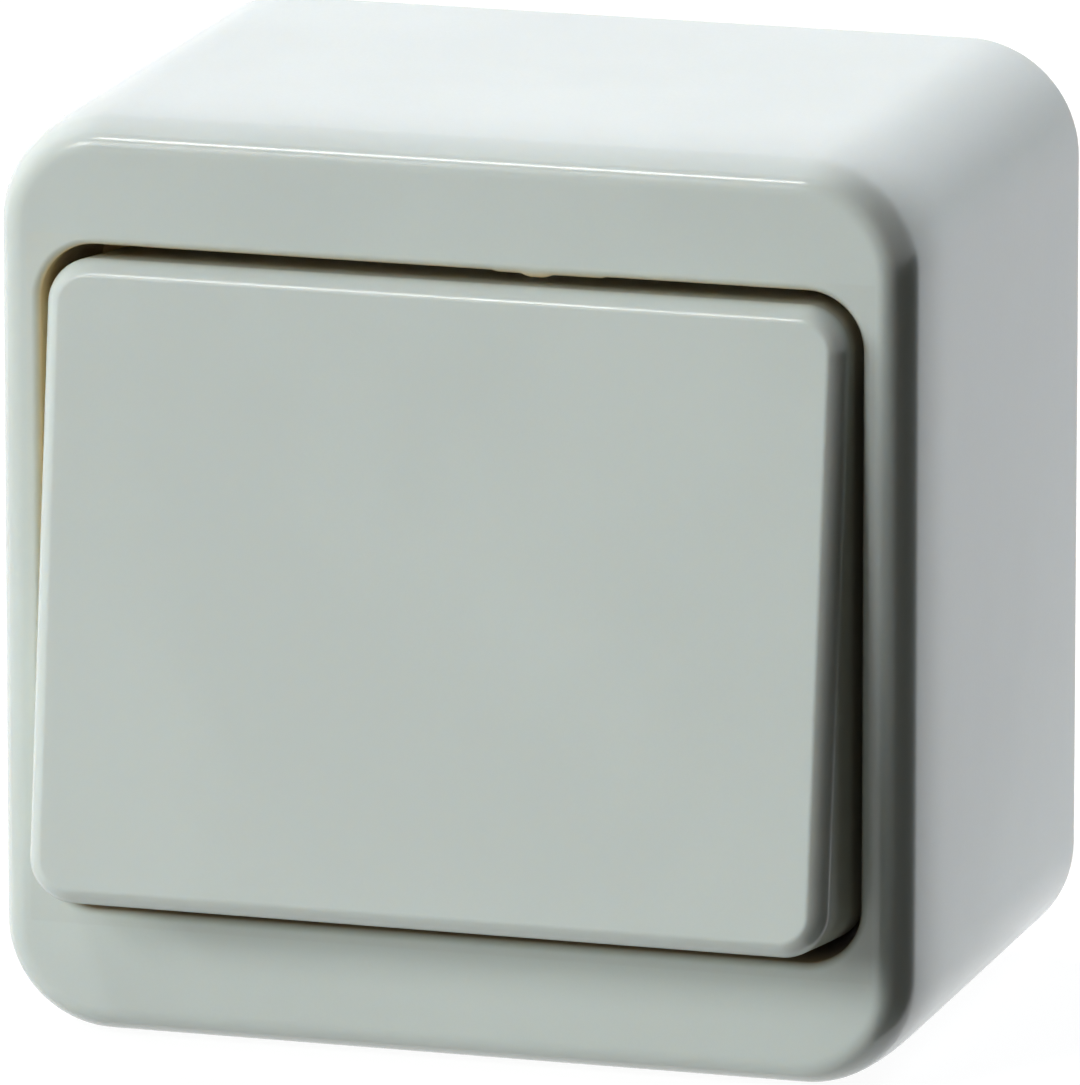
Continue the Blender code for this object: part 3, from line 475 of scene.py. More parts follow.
def outline(size, inset=0.0, rise=0.0, aside=0.0):
    """Rounded rectangle as (across, up) pairs, the same number whatever its size."""
    width, height, corner = size
    half = width / 2 - inset
    high = height / 2 - inset
    radius = max(corner - inset, 0.0001)
    arcs = []
    for quarter, (side, up) in enumerate(((1, 1), (-1, 1), (-1, -1), (1, -1))):
        turns = [pi / 2 * (quarter + step / CORNER_STEPS) for step in range(CORNER_STEPS + 1)]
        centre = (side * (half - radius) + aside, up * (high - radius) + rise)
        arcs.append([(centre[0] + radius * cos(turn), centre[1] + radius * sin(turn)) for turn in turns])
    points = []
    for quarter, arc in enumerate(arcs):
        points += arc
        start = arc[-1]
        end = arcs[(quarter + 1) % 4][0]
        for share in (nib_shares() if quarter == 0 else side_shares()):
            points.append((start[0] + (end[0] - start[0]) * share, start[1] + (end[1] - start[1]) * share))
    return points


def side_shares():
    """Even stations along a straight side."""
    return [(step + 1) / (SIDE_STATIONS + 1) for step in range(SIDE_STATIONS)]


def nib_shares():
    """Stations along the top side, close together where the nib is."""
    sizes = bpy.context.scene.switch_sizes
    half = sizes.opening_width / 2 - sizes.opening_corner
    margin = 0.0012
    right_stations = 3
    left_stations = 4
    first = (half - sizes.nib_centre - sizes.nib_width / 2 - margin) / (2 * half)
    last = (half - sizes.nib_centre + sizes.nib_width / 2 + margin) / (2 * half)
    before = [first * (step + 1) / (right_stations + 1) for step in range(right_stations)]
    close = [first + (last - first) * step / NIB_STATIONS for step in range(NIB_STATIONS + 1)]
    after = [last + (1 - last) * (step + 1) / (left_stations + 1) for step in range(left_stations)]
    return before + close + after


def raised(points, out):
    """An outline carried out of the wall."""
    return [Vector((across, -out, up)) for across, up in points]


def fillet(radius, steps, front):
    """Quarter round as (inset, out) pairs, from the side face to the front face."""
    turns = [pi / 2 * step / steps for step in range(steps + 1)]
    return [(radius * (1 - cos(turn)), front - radius * (1 - sin(turn))) for turn in turns]


def eased_fillet(sizes):
    """The hood's edge as (inset, out) pairs from the side to the front: a long gentle curve, then two arcs."""
    start = radians(EASE_ANGLE)
    middle = radians(SHOULDER_ANGLE)
    sag = tan(start) * sizes.hood_ease / EASE_POWER
    turned_in = sizes.hood_shoulder * (cos(start) - cos(middle))
    front = sizes.hood_depth - sizes.hood_fillet * (1 - sin(middle))
    tangent = front - sizes.hood_shoulder * (sin(middle) - sin(start))
    pairs = []
    for step in range(EASE_STEPS):
        share = (EASE_STEPS - step) / EASE_STEPS
        pairs.append((sag * (1 - share) ** EASE_POWER, tangent - sizes.hood_ease * share))
    for step in range(SHOULDER_STEPS):
        turn = start + (middle - start) * step / SHOULDER_STEPS
        inset = sag + sizes.hood_shoulder * (cos(start) - cos(turn))
        pairs.append((inset, tangent + sizes.hood_shoulder * (sin(turn) - sin(start))))
    for step in range(FILLET_STEPS + 1):
        turn = middle + (pi / 2 - middle) * step / FILLET_STEPS
        inset = sag + turned_in + sizes.hood_fillet * (cos(middle) - cos(turn))
        pairs.append((inset, front + sizes.hood_fillet * (sin(turn) - sin(middle))))
    return pairs


def creased_fillet(sizes):
    """The rocker's edge as (inset, out) pairs from the side to the face: a wide arc, then a tight one."""
    turned = radians(CREASE_ANGLE)
    crease_rise = sizes.rocker_crease * (1 - sin(turned))
    tangent = FACE_ABOVE_AXIS - crease_rise - sizes.rocker_fillet * sin(turned)
    pairs = []
    for step in range(FILLET_STEPS):
        turn = turned * step / FILLET_STEPS
        pairs.append((sizes.rocker_fillet * (1 - cos(turn)), tangent + sizes.rocker_fillet * sin(turn)))
    for step in range(CREASE_STEPS + 1):
        turn = turned + (pi / 2 - turned) * step / CREASE_STEPS
        inset = sizes.rocker_fillet * (1 - cos(turned)) + sizes.rocker_crease * (cos(turned) - cos(turn))
        pairs.append((inset, FACE_ABOVE_AXIS - sizes.rocker_crease * (1 - sin(turn))))
    return pairs


def loft(name, rings, closed=False):
    """A mesh through rings of equal length, with its last ring joined to its first or both capped."""
    form = bmesh.new()
    rows = [[form.verts.new(point) for point in ring] for ring in rings]
    count = len(rows[0])
    pairs = list(zip(rows, rows[1:]))
    if closed:
        pairs.append((rows[-1], rows[0]))
    for lower, upper in pairs:
        for index in range(count):
            after = (index + 1) % count
            form.faces.new((lower[index], lower[after], upper[after], upper[index]))
    if not closed:
        form.faces.new(rows[0][::-1])
        form.faces.new(rows[-1])
    bmesh.ops.recalc_face_normals(form, faces=form.faces)
    mesh = bpy.data.meshes.new(name)
    form.to_mesh(mesh)
    form.free()
    return mesh


def add_piece(name, mesh):
    """Links a mesh to the scene as an object at the origin."""
    piece = bpy.data.objects.new(name, mesh)
    bpy.context.scene.collection.objects.link(piece)
    return piece


def drop(piece):
    """Takes a helper object out of the file."""
    bpy.data.objects.remove(piece, do_unlink=True)


def combine(piece, tools, operation):
    """Cuts away or joins the tools, one after another, and leaves a plain mesh."""
    for tool in tools:
        modifier = piece.modifiers.new("form", 'BOOLEAN')
        modifier.operation = operation
        modifier.solver = 'EXACT'
        modifier.object = tool
        settle(piece)
        drop(tool)


def settle(piece):
    """Turns what the modifiers make into the piece's own mesh."""
    bpy.context.view_layer.update()
    made = bpy.data.meshes.new_from_object(piece.evaluated_get(bpy.context.evaluated_depsgraph_get()))
    piece.modifiers.clear()
    piece.data = made


def shade(piece):
    """Smooth fillets between flat faces that stay flat."""
    piece.data.shade_smooth()
    piece.data.set_sharp_from_angle(angle=radians(SHARP_EDGE))
    modifier = piece.modifiers.new("flat faces", 'WEIGHTED_NORMAL')
    modifier.mode = 'FACE_AREA_WITH_ANGLE'
    modifier.weight = 100
    modifier.keep_sharp = True
    settle(piece)


def finish_piece(piece, finish, slot, body, *nodes):
    """Gives a piece its material and its place in the frame."""
    piece.data.materials.clear()
    piece.data.materials.append(material(finish))
    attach(piece, body)
    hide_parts(*nodes)


def bar(name, across, out, up):
    """Plain bar between the limits given, a tool for cutting or joining."""
    corners = [(across[0], up[0]), (across[1], up[0]), (across[1], up[1]), (across[0], up[1])]
    return add_piece(name, loft(name, [raised(corners, level) for level in out]))


def rod(name, radius, place, out):
    """Round bar square to the wall, a tool for cutting or joining."""
    turns = [2 * pi * step / ROUND_STEPS for step in range(ROUND_STEPS)]
    circle = [(place[0] + radius * cos(turn), place[1] + radius * sin(turn)) for turn in turns]
    return add_piece(name, loft(name, [raised(circle, level) for level in out]))


def nib_drop(across, out, sizes):
    """How far the nib stands into the gap at a place on the opening's top edge."""
    lip_edge = 0.00012
    lead_in = 0.0006
    fade_out = 0.0005
    length = 0.0030
    inside = sizes.nib_width / 2 - abs(across - sizes.nib_centre)
    lip = sizes.nib_proud / (1 + exp(-inside / lip_edge * 2))
    bulge = 0.0
    reach = abs(across - sizes.nib_tip_centre) / (sizes.nib_tip_width / 2)
    if reach < 1:
        bulge = (sizes.nib_tip_proud - sizes.nib_proud) * (1 - reach ** 4) ** 2
    front = sizes.hood_depth - out
    depth = min(max(front / lead_in, 0.0), 1.0) * min(max((length - front) / fade_out, 0.0), 1.0)
    return (lip + bulge) * depth


class SWITCH_OT_hood(Operator):
    """Hood with its fillets, opening, nib, recess, stiffeners and thin break-out places"""
    bl_idname = "switch.hood"
    bl_label = "Hood"

    def execute(self, context):
        sizes = context.scene.switch_sizes
        piece = add_piece("hood", loft("hood", hood_rings(sizes), closed=True))
        combine(piece, hood_ribs(sizes), 'UNION')
        combine(piece, hood_cuts(sizes), 'DIFFERENCE')
        shade(piece)
        finish_piece(piece, "shell_white", "white_plastic", "base", "housing_cover")
        return {'FINISHED'}


def hood_rings(sizes):
    """Outlines round the hood's whole section, from its back rim over the front to the inside."""
    outer = (sizes.hood_width, sizes.hood_height, sizes.hood_corner)
    opening = (sizes.opening_width, sizes.opening_height, sizes.opening_corner)
    wall = sizes.hood_wall
    rise = sizes.opening_rise
    back_edge = 0.0002
    rings = [raised(outline(outer, back_edge), 0.0), raised(outline(outer), back_edge)]
    for inset, out in eased_fillet(sizes):
        rings.append(raised(outline(outer, inset), out))
    edge = fillet(sizes.opening_fillet, EDGE_STEPS, sizes.hood_depth)
    rings += [nib_ring(opening, -inset, out, sizes) for inset, out in reversed(edge)]
    for step in range(1, NIB_RINGS + 1):
        out = sizes.hood_depth - sizes.opening_fillet - step * NIB_RING_STEP
        rings.append(nib_ring(opening, 0.0, out, sizes))
    rings.append(raised(outline(opening, 0.0, rise, sizes.opening_aside), RECESS_FRONT))
    rings.append(raised(outline(WINDOW_SIZE), RECESS_FRONT))
    rings.append(raised(outline(WINDOW_SIZE), RECESS_BACK))
    recess = (opening[0] + 2 * RECESS_WALL, opening[1] + 2 * RECESS_WALL, opening[2] + RECESS_WALL)
    inner_front = sizes.hood_depth - FRONT_WALL
    rings.append(raised(outline(recess, 0.0, rise), RECESS_BACK))
    rings.append(raised(outline(recess, 0.0, rise), inner_front))
    rings.append(raised(outline(outer, wall), inner_front))
    rings.append(raised(outline(outer, wall), 0.0))
    return rings


def nib_ring(opening, inset, out, sizes):
    """One outline of the opening, pressed down where the nib is."""
    top = sizes.opening_height / 2 + sizes.opening_rise - inset
    ring = raised(outline(opening, inset, sizes.opening_rise, sizes.opening_aside), out)
    for point in ring:
        if abs(point.z - top) < 0.00001:
            point.z -= nib_drop(point.x, out, sizes)
    return ring


def hood_ribs(sizes):
    """Stiffeners between the recess and the hood's top and bottom."""
    pitch = 0.0130
    half = 0.0006
    bite = 0.0004
    inner = sizes.hood_height / 2 - sizes.hood_wall
    tools = []
    for place in (-1.5 * pitch, -0.5 * pitch, 0.5 * pitch, 1.5 * pitch):
        for side in (-1, 1):
            recess = sizes.opening_height / 2 + RECESS_WALL + side * sizes.opening_rise
            up = sorted((side * (recess - bite), side * (inner + bite)))
            out = (RECESS_FRONT, sizes.hood_depth - FRONT_WALL + bite)
            tools.append(bar("rib", (place - half, place + half), out, up))
    return tools


def hood_cuts(sizes):
    """Screw holes through the recess and pockets that leave the break-out places thin."""
    over = 0.0010
    through = (RECESS_BACK - over, RECESS_FRONT + over)
    across = (-BREAKOUT_WIDTH / 2, BREAKOUT_WIDTH / 2)
    tools = [rod("hole", HOLE_RADIUS, (side * PILLAR_SIDE, 0.0), through) for side in (-1, 1)]
    for side in (-1, 1):
        inner = side * (sizes.hood_height / 2 - sizes.hood_wall - over)
        outer = side * (sizes.hood_height / 2 - BREAKOUT_SKIN)
        tools.append(bar("pocket", across, (-over, BREAKOUT_HEIGHT), sorted((inner, outer))))
    return tools


class SWITCH_OT_rocker(Operator):
    """Rocker cap with its rounded face, skirt and clips, tilted with its top pressed in"""
    bl_idname = "switch.rocker"
    bl_label = "Rocker"

    def execute(self, context):
        sizes = context.scene.switch_sizes
        piece = add_piece("rocker_cap", loft("rocker_cap", rocker_rings(sizes)))
        combine(piece, rocker_clips(sizes), 'UNION')
        turn = Matrix.Rotation(-sizes.rocker_tilt, 4, 'X')
        seat = Matrix.Translation((0.0, 0.0, sizes.rocker_rise))
        piece.data.transform(Matrix.Translation((sizes.rocker_aside, -PIVOT_OUT, 0.0)) @ turn @ seat)
        shade(piece)
        finish_piece(piece, "rocker_white", "white_plastic", "rocker", "rocker")
        return {'FINISHED'}


def rocker_rings(sizes):
    """Outlines from the middle of the rocker's face, over its edge and down the skirt, to the inside."""
    size = (sizes.rocker_width, sizes.rocker_height, sizes.rocker_corner)
    back = FACE_ABOVE_AXIS - sizes.rocker_skirt
    wall = sizes.rocker_wall
    inner = FACE_ABOVE_AXIS - wall
    lip = 0.0002
    middle = 0.0120
    rings = [raised(outline(size, middle), FACE_ABOVE_AXIS)]
    for inset, out in reversed(creased_fillet(sizes)):
        rings.append(raised(outline(size, inset), out))
    rings.append(raised(outline(size), back + lip))
    rings.append(raised(outline(size, lip), back))
    rings.append(raised(outline(size, wall), back))
    rings.append(raised(outline(size, wall), inner))
    rings.append(raised(outline(size, middle), inner))
    return rings


def rocker_clips(sizes):
    """Two legs beside the cradle, each with a barb that snaps behind it."""
    near = 0.0078
    root = FACE_ABOVE_AXIS - sizes.rocker_wall / 2
    under = -0.0028
    barb = 0.0010
    thick = 0.0014
    section = [
        (root, near), (under, near), (under, near - barb), (under - barb, near - barb / 2),
        (under - 2 * barb, near + thick / 2), (under - 2 * barb, near + thick), (root, near + thick)]
    tools = []
    for side in (-1, 1):
        rings = [[Vector((across, -out, side * up)) for out, up in section] for across in (-0.0030, 0.0030)]
        tools.append(add_piece("clip", loft("clip", rings)))
    return tools


def new_tree(name, inputs):
    """An empty Geometry Nodes tree with its recipe and its inputs by name."""
    tree = bpy.data.node_groups.new(name, 'GeometryNodeTree')
    tree.interface.new_socket("Geometry", in_out='INPUT', socket_type='NodeSocketGeometry')
    tree.interface.new_socket("Geometry", in_out='OUTPUT', socket_type='NodeSocketGeometry')
    for label, default in inputs.items():
        kind = 'NodeSocketInt' if isinstance(default, int) else 'NodeSocketFloat'
        tree.interface.new_socket(label, in_out='INPUT', socket_type=kind).default_value = default
    recipe = Recipe(tree)
    start = recipe.node('NodeGroupInput')
    return recipe, {label: Socket(recipe, start.outputs[label]) for label in ("Geometry", *inputs)}


def close_tree(recipe, shape, finish):
    """Makes the tree's shape real, gives it its material and ends the tree."""
    real = recipe.take('GeometryNodeRealizeInstances', {}, {0: shape})
    painted = recipe.take('GeometryNodeSetMaterial', {}, {"Geometry": real, "Material": material(finish)})
    recipe.node('NodeGroupOutput', {}, {"Geometry": painted})


def grow(name, tree, places, values):
    """A plain mesh that the tree makes round the given points."""
    mesh = bpy.data.meshes.new(name)
    mesh.from_pydata(places, [], [])
    piece = add_piece(name, mesh)
    modifier = piece.modifiers.new("shape", 'NODES')
    modifier.node_group = tree
    for item in tree.interface.items_tree:
        if item.item_type == 'SOCKET' and item.in_out == 'INPUT' and item.name in values:
            modifier[item.identifier] = values[item.name]
    settle(piece)
    return piece


def moved(recipe, shape, out):
    """A shape carried out of the wall along the screw's axis."""
    place = recipe.take('ShaderNodeCombineXYZ', {}, {"Z": out})
    return recipe.take('GeometryNodeTransform', {}, {"Geometry": shape, "Translation": place})


def cone(recipe, foot, top, depth, facets):
    """A closed cone or cylinder that stands on its foot."""
    sizes = {"Vertices": facets, "Radius Top": top, "Radius Bottom": foot, "Depth": depth}
    return recipe.take('GeometryNodeMeshCone', {"fill_type": 'NGON'}, sizes)


def screw_tree():
    """Slotted screw with a turned head, a rolled thread and a short point, at each of the given points."""
    recipe, given = new_tree("slotted_screw", {
        "Shank": 0.00145, "Tip": 0.0128, "Neck": 0.0197, "Pitch": 0.0006, "Foot": 0.0027, "Head": 0.0027,
        "Depth": 0.0018, "Edge": 0.0003, "Slot": 0.0009})
    crest = given["Pitch"] * THREAD_HEIGHT
    core = given["Shank"] - crest
    length = given["Neck"] - given["Tip"]
    point = given["Shank"] * POINT_LENGTH
    parts = [moved(recipe, cone(recipe, core, core, length - point, SHANK_STEPS), given["Tip"] + point)]
    parts.append(moved(recipe, cone(recipe, core * POINT_END, core, point, SHANK_STEPS), given["Tip"]))
    run = length - point - given["Pitch"]
    turns = run / given["Pitch"]
    spiral = recipe.take('GeometryNodeCurveSpiral', {}, {
        "Resolution": THREAD_STEPS, "Rotations": turns, "Start Radius": core, "End Radius": core, "Height": run})
    upright = recipe.take('GeometryNodeSetCurveNormal', {"mode": 'Z_UP'}, {"Curve": spiral})
    ridge = recipe.take('GeometryNodeCurvePrimitiveCircle', {"mode": 'RADIUS'}, {"Resolution": 4, "Radius": crest})
    thread = recipe.take(
        'GeometryNodeCurveToMesh', {}, {"Curve": upright, "Profile Curve": ridge, "Fill Caps": True})
    parts.append(moved(recipe, thread, given["Tip"] + point))
    body = cone(recipe, given["Foot"], given["Head"], given["Depth"] - given["Edge"], ROUND_STEPS)
    rim = moved(
        recipe, cone(recipe, given["Head"], given["Head"] - given["Edge"], given["Edge"], ROUND_STEPS),
        given["Depth"] - given["Edge"])
    head = recipe.node('GeometryNodeMeshBoolean', {"operation": 'UNION'})
    for part in (body, rim):
        recipe.tree.links.new(part.socket, head.inputs["Mesh 2"])
    size = recipe.take('ShaderNodeCombineXYZ', {}, {
        "X": given["Head"] * 2.4, "Y": given["Slot"], "Z": given["Slot"] * 2.0})
    blade = moved(recipe, recipe.take('GeometryNodeMeshCube', {}, {"Size": size}), given["Depth"])
    slotted = recipe.take(
        'GeometryNodeMeshBoolean', {"operation": 'DIFFERENCE'},
        {"Mesh 1": Socket(recipe, head.outputs[0]), "Mesh 2": blade})
    parts.append(moved(recipe, slotted, given["Neck"]))
    whole = recipe.node('GeometryNodeJoinGeometry')
    for part in parts:
        recipe.tree.links.new(part.socket, whole.inputs[0])
    facing = recipe.take(
        'GeometryNodeTransform', {}, {"Geometry": Socket(recipe, whole.outputs[0]), "Rotation": (pi / 2, 0.0, 0.0)})
    order = recipe.take('GeometryNodeInputIndex')
    turn = recipe.take('ShaderNodeCombineXYZ', {}, {"Y": order * SLOT_TURN + 0.5})
    placed = recipe.take('GeometryNodeInstanceOnPoints', {}, {
        "Points": given["Geometry"], "Instance": facing, "Rotation": turn})
    close_tree(recipe, placed, "screw_zinc")
    return recipe.tree


class SWITCH_OT_screws(Operator):
    """Screws of the terminals, of the contact block and of the hood"""
    bl_idname = "switch.screws"
    bl_label = "Screws"

    def execute(self, context):
        tree = screw_tree()
        kinds = (
            ("terminal_screws", TERMINALS, {},
                ("terminal_screw_upper", "terminal_screw_lower", "terminal_screw_common")),
            ("cover_screws", ((-PILLAR_SIDE, 0.0), (PILLAR_SIDE, 0.0)), {
                "Tip": 0.0156, "Neck": 0.0299, "Pitch": 0.0008, "Foot": 0.0028, "Head": 0.0028, "Depth": 0.0020},
                ("cover_screw_left", "cover_screw_right")),
            ("block_screws", BLOCK_SCREWS, {
                "Tip": 0.0040, "Neck": 0.0258, "Pitch": 0.0008, "Foot": 0.00145, "Head": 0.0026, "Depth": 0.0015,
                "Edge": 0.0001},
                ("socket_screw_left", "socket_screw_right")))
        for name, places, values, nodes in kinds:
            piece = grow(name, tree, [(across, 0.0, up) for across, up in places], values)
            shade(piece)
            finish_piece(piece, "screw_zinc", "zinc_steel", "base", *nodes)
        return {'FINISHED'}


def spring_tree():
    """Compression spring with its end turns closed, wound about the plunger's axis."""
    recipe, given = new_tree("toggle_spring", {
        "Start": 0.0, "End": 0.01, "Radius": SPRING_RADIUS, "Wire": SPRING_WIRE, "Turns": SPRING_TURNS,
        "Closed turns": 1.0, "Steps": SPRING_STEPS})
    line = recipe.take('GeometryNodeCurvePrimitiveLine', {}, {"End": (0.0, 0.0, 1.0)})
    fine = recipe.take('GeometryNodeResampleCurve', {}, {"Curve": line, "Count": given["Steps"]})
    share = recipe.take('GeometryNodeSplineParameter')
    turn = share * given["Turns"]
    low = turn.math('MINIMUM', turn, given["Closed turns"])
    high = turn.math('MAXIMUM', turn - (given["Turns"] - given["Closed turns"]), 0.0)
    active = given["Turns"] - given["Closed turns"] * 2.0
    reach = given["End"] - given["Start"] - given["Closed turns"] * given["Wire"] * 2.0
    along = (low + high) * given["Wire"] + (turn - low - high) / active * reach + given["Start"]
    swing = turn * (2 * pi)
    place = recipe.take('ShaderNodeCombineXYZ', {}, {
        "X": swing.math('COSINE', swing) * given["Radius"],
        "Y": 0.0 - along,
        "Z": swing.math('SINE', swing) * given["Radius"]})
    wound = recipe.take('GeometryNodeSetPosition', {}, {"Geometry": fine, "Position": place})
    section = recipe.take(
        'GeometryNodeCurvePrimitiveCircle', {"mode": 'RADIUS'},
        {"Resolution": WIRE_STEPS, "Radius": given["Wire"] / 2.0})
    wire = recipe.take(
        'GeometryNodeCurveToMesh', {}, {"Curve": wound, "Profile Curve": section, "Fill Caps": True})
    close_tree(recipe, wire, "screw_zinc")
    return recipe.tree


class SWITCH_OT_spring(Operator):
    """Spring behind the plunger, tilted with the rocker"""
    bl_idname = "switch.spring"
    bl_label = "Toggle spring"

    def execute(self, context):
        held, pushed = SPRING_ENDS
        piece = grow("spring_coil", spring_tree(), [(0.0, 0.0, 0.0)], {"Start": pushed, "End": held})
        turn = Matrix.Rotation(-context.scene.switch_sizes.rocker_tilt, 4, 'X')
        place = Matrix.Translation((0.0, -PIVOT_OUT, 0.0)) @ turn
        piece.data.transform(place)
        shade(piece)
        finish_piece(piece, "screw_zinc", "zinc_steel", "rocker", "toggle_spring")
        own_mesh(piece)
        return {'FINISHED'}


class SWITCH_OT_inner_pieces(Operator):
    """Finishes of the pieces that keep their solid's shape"""
    bl_idname = "switch.inner_pieces"
    bl_label = "Inner pieces"

    def execute(self, context):
        finishes = {
            "base_grey": ("base_plate", "bearing_frame", "rocker_cradle"),
            "block_dark": ("switch_socket",),
            "strip_brass": ("common_strip", "terminal_strip_upper", "terminal_strip_lower", "contact_lever"),
            "rivet_silver": (
                "fixed_contact_upper", "fixed_contact_lower", "moving_contact_upper", "moving_contact_lower"),
            "screw_zinc": (
                "terminal_clamp_common", "terminal_clamp_upper", "terminal_clamp_lower", "plunger")}
        for finish, names in finishes.items():
            for name in names:
                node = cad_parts[name]
                for slot in node.material_slots:
                    slot.material = material(finish)
        return {'FINISHED'}


class SWITCH_OT_stage(Operator):
    """Floor, backdrop, lights and camera"""
    bl_idname = "switch.stage"
    bl_label = "Stage"

    def execute(self, context):
        stage = context.scene.switch_stage
        lay_floor()
        paint_world(stage)
        for name, settings in LAMPS.items():
            soft_light(name, getattr(stage, f"{name}_level"), *settings)
        place_camera(stage)
        context.scene.view_settings.view_transform = 'Standard'
        return {'FINISHED'}


def direction(azimuth, elevation):
    """Unit vector away from the switch, with azimuth 0 straight out of the wall."""
    return Vector((
        sin(azimuth) * cos(elevation), -cos(azimuth) * cos(elevation), sin(elevation)))


def soft_light(name, level, azimuth, elevation, spread, shade_of_light, mirrored):
    """A square lamp that faces the switch: its level on a square-on white face, and its width over its distance."""
    lamp = bpy.data.lights.new(name, 'AREA')
    lamp.energy = level * pi ** 2 * LAMP_DISTANCE ** 2
    lamp.size = spread * LAMP_DISTANCE
    lamp.color = shade_of_light
    way = direction(radians(azimuth), radians(elevation))
    holder = bpy.data.objects.new(name, lamp)
    holder.location = Vector((0.0, -BODY_CENTRE_OUT, 0.0)) + way * LAMP_DISTANCE
    holder.rotation_mode = 'QUATERNION'
    holder.rotation_quaternion = way.to_track_quat('Z', 'Y')
    holder.visible_camera = False
    holder.visible_glossy = mirrored
    bpy.context.scene.collection.objects.link(holder)


def place_camera(stage):
    """The camera at the photograph's angle."""
    way = direction(stage.azimuth, stage.elevation)
    right = Vector((cos(stage.azimuth), sin(stage.azimuth), 0.0))
    up = way.cross(right)
    target = Vector((0.0, -BODY_CENTRE_OUT, 0.0)) + right * AIM_ASIDE + up * AIM_UP
    lens = bpy.data.cameras.new("camera")
    lens.sensor_width = 36.0
    lens.lens = stage.lens
    lens.clip_start = 0.01
    lens.clip_end = 50.0
    camera = bpy.data.objects.new("camera", lens)
    camera.location = target + way * stage.distance
    camera.rotation_mode = 'QUATERNION'
    camera.rotation_quaternion = way.to_track_quat('Z', 'Y')
    bpy.context.scene.collection.objects.link(camera)
    bpy.context.scene.camera = camera


def lay_floor():
    """A wide pale floor under the switch, which shows white and keeps the shadow."""
    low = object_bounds()[0].z
    reach = 3.0
    corners = [(-reach, -reach), (reach, -reach), (reach, reach), (-reach, reach)]
    mesh = bpy.data.meshes.new("floor")
    mesh.from_pydata([(across, along, low) for across, along in corners], [], [(0, 1, 2, 3)])
    mesh.materials.append(floor_material())
    add_piece("floor", mesh)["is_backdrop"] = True


def floor_material():
    """White to the camera and in reflections, less its shadow, with a dark card to the right and a dull rest."""
    made, recipe, shader = new_material("floor_white")
    sizes = bpy.context.scene.switch_sizes
    start = (sizes.hood_width / 2, -sizes.hood_depth, 0.0)
    place = recipe.take('ShaderNodeTexCoord', output=3)
    corner = recipe.take('ShaderNodeVectorMath', {"operation": 'SUBTRACT'}, {0: place, 1: start})
    flat = recipe.take('ShaderNodeVectorMath', {"operation": 'MULTIPLY'}, {0: corner, 1: (1.0, 1.0, 0.0)})
    way = recipe.take('ShaderNodeVectorMath', {"operation": 'NORMALIZE'}, {0: flat})
    across, back, _ = recipe.split(way)
    card = recipe.step(across * CARD_WAY[0] + back * CARD_WAY[1], *CARD_LIMITS)
    wide = recipe.step(across * REAR_WAY[0] + back * REAR_WAY[1], *REAR_LIMITS, *DULL_LEVELS)
    tint = recipe.between(recipe.step(back, 0.2, 0.6), (0.98, 1.0, 0.96, 1.0), (0.95, 0.96, 1.0, 1.0))
    dull = recipe.take('ShaderNodeEmission', {}, {"Color": tint, "Strength": wide * (1.0 - card * CARD_DARKNESS)})
    soft = recipe.take('ShaderNodeBsdfDiffuse', {}, {"Color": rgba([FLOOR_GREY] * 3)})
    glow = recipe.take('ShaderNodeEmission', {}, {"Color": (1.0, 1.0, 1.0, 1.0), "Strength": FLOOR_GLOW})
    bright = recipe.take('ShaderNodeAddShader', {}, {0: soft, 1: glow})
    mixed = recipe.take('ShaderNodeMixShader', {}, {0: looked_at(recipe, 1.0 - card), 1: dull, 2: bright})
    recipe.tree.nodes.remove(shader)
    end = made.node_tree.nodes["Material Output"]
    recipe.tree.links.new(mixed.socket, end.inputs["Surface"])
    return made


def looked_at(recipe, mirrored=1.0):
    """Whether a ray comes from the camera or through glass, or from a glossy surface."""
    rays = recipe.node('ShaderNodeLightPath')
    camera = Socket(recipe, rays.outputs["Is Camera Ray"])
    glass = Socket(recipe, rays.outputs["Is Transmission Ray"])
    gloss = Socket(recipe, rays.outputs["Is Glossy Ray"])
    return (camera + glass + gloss * mirrored).held()


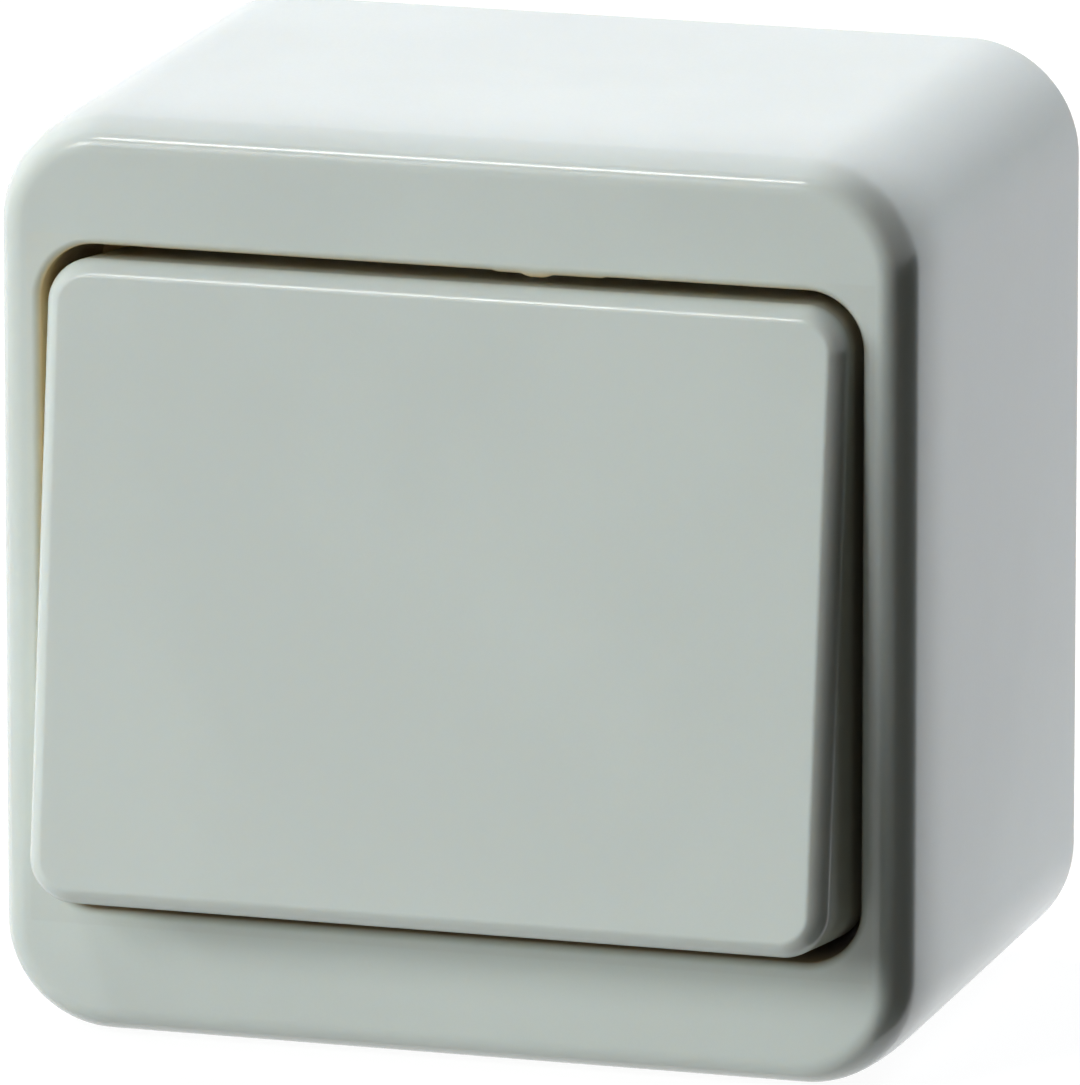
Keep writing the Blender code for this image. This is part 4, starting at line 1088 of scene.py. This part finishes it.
def paint_world(stage):
    """White to the camera and in reflections; else a bright backdrop behind the switch and a dim room in front."""
    world = bpy.data.worlds.new("studio")
    world.use_nodes = True
    bpy.context.scene.world = world
    recipe = Recipe(world.node_tree)
    _, back, up = recipe.split(recipe.take('ShaderNodeTexCoord', output=0))
    share = recipe.step(back, *BACKDROP_LIMITS) * recipe.step(up, *BACKDROP_TOP, 1.0, 0.0)
    level = share * (stage.back_level - stage.fill_level) + stage.fill_level
    tint = recipe.between(share, (1.0, 0.90, 0.72, 1.0), (0.97, 0.99, 1.0, 1.0))
    end = world.node_tree.nodes["World Output"]
    room = recipe.take('ShaderNodeBackground', {}, {"Color": tint, "Strength": level})
    white = recipe.take('ShaderNodeBackground', {}, {"Color": (1.0, 1.0, 1.0, 1.0), "Strength": 1.0})
    mixed = recipe.take('ShaderNodeMixShader', {}, {0: looked_at(recipe), 1: room, 2: white})
    recipe.tree.links.new(mixed.socket, end.inputs["Surface"])


class SWITCH_PT_builder(Panel):
    """Lists the sizes, finishes and pieces of the switch"""
    bl_idname = "SWITCH_PT_builder"
    bl_label = "Light switch"
    bl_space_type = 'VIEW_3D'
    bl_region_type = 'UI'
    bl_category = "Switch"

    def draw(self, context):
        for title, group in (
                ("Sizes", context.scene.switch_sizes), ("Finishes", context.scene.switch_finishes),
                ("Stage", context.scene.switch_stage)):
            box = self.layout.box()
            box.label(text=title)
            for name in group.bl_rna.properties.keys():
                if name not in ("rna_type", "name"):
                    box.prop(group, name)
        for operator in OPERATORS:
            self.layout.operator(operator.bl_idname)


GROUPS = (SwitchSizes, SwitchFinishes, SwitchStage)
OPERATORS = (
    SWITCH_OT_hood, SWITCH_OT_rocker, SWITCH_OT_screws, SWITCH_OT_spring, SWITCH_OT_inner_pieces, SWITCH_OT_stage)


def register():
    """Makes the classes and the scene's properties known."""
    for item in (*GROUPS, *OPERATORS, SWITCH_PT_builder):
        bpy.utils.register_class(item)
    bpy.types.Scene.switch_sizes = PointerProperty(type=SwitchSizes)
    bpy.types.Scene.switch_finishes = PointerProperty(type=SwitchFinishes)
    bpy.types.Scene.switch_stage = PointerProperty(type=SwitchStage)


def unregister():
    """Takes them out again."""
    del bpy.types.Scene.switch_stage
    del bpy.types.Scene.switch_finishes
    del bpy.types.Scene.switch_sizes
    for item in reversed((*GROUPS, *OPERATORS, SWITCH_PT_builder)):
        bpy.utils.unregister_class(item)


def main():
    """Builds the pieces in order."""
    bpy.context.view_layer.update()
    register()
    for operator in OPERATORS:
        if getattr(bpy.ops.switch, operator.bl_idname.split(".")[1])() != {'FINISHED'}:
            raise RuntimeError(f"{operator.bl_label} was not finished")


if __name__ == "__main__":
    main()
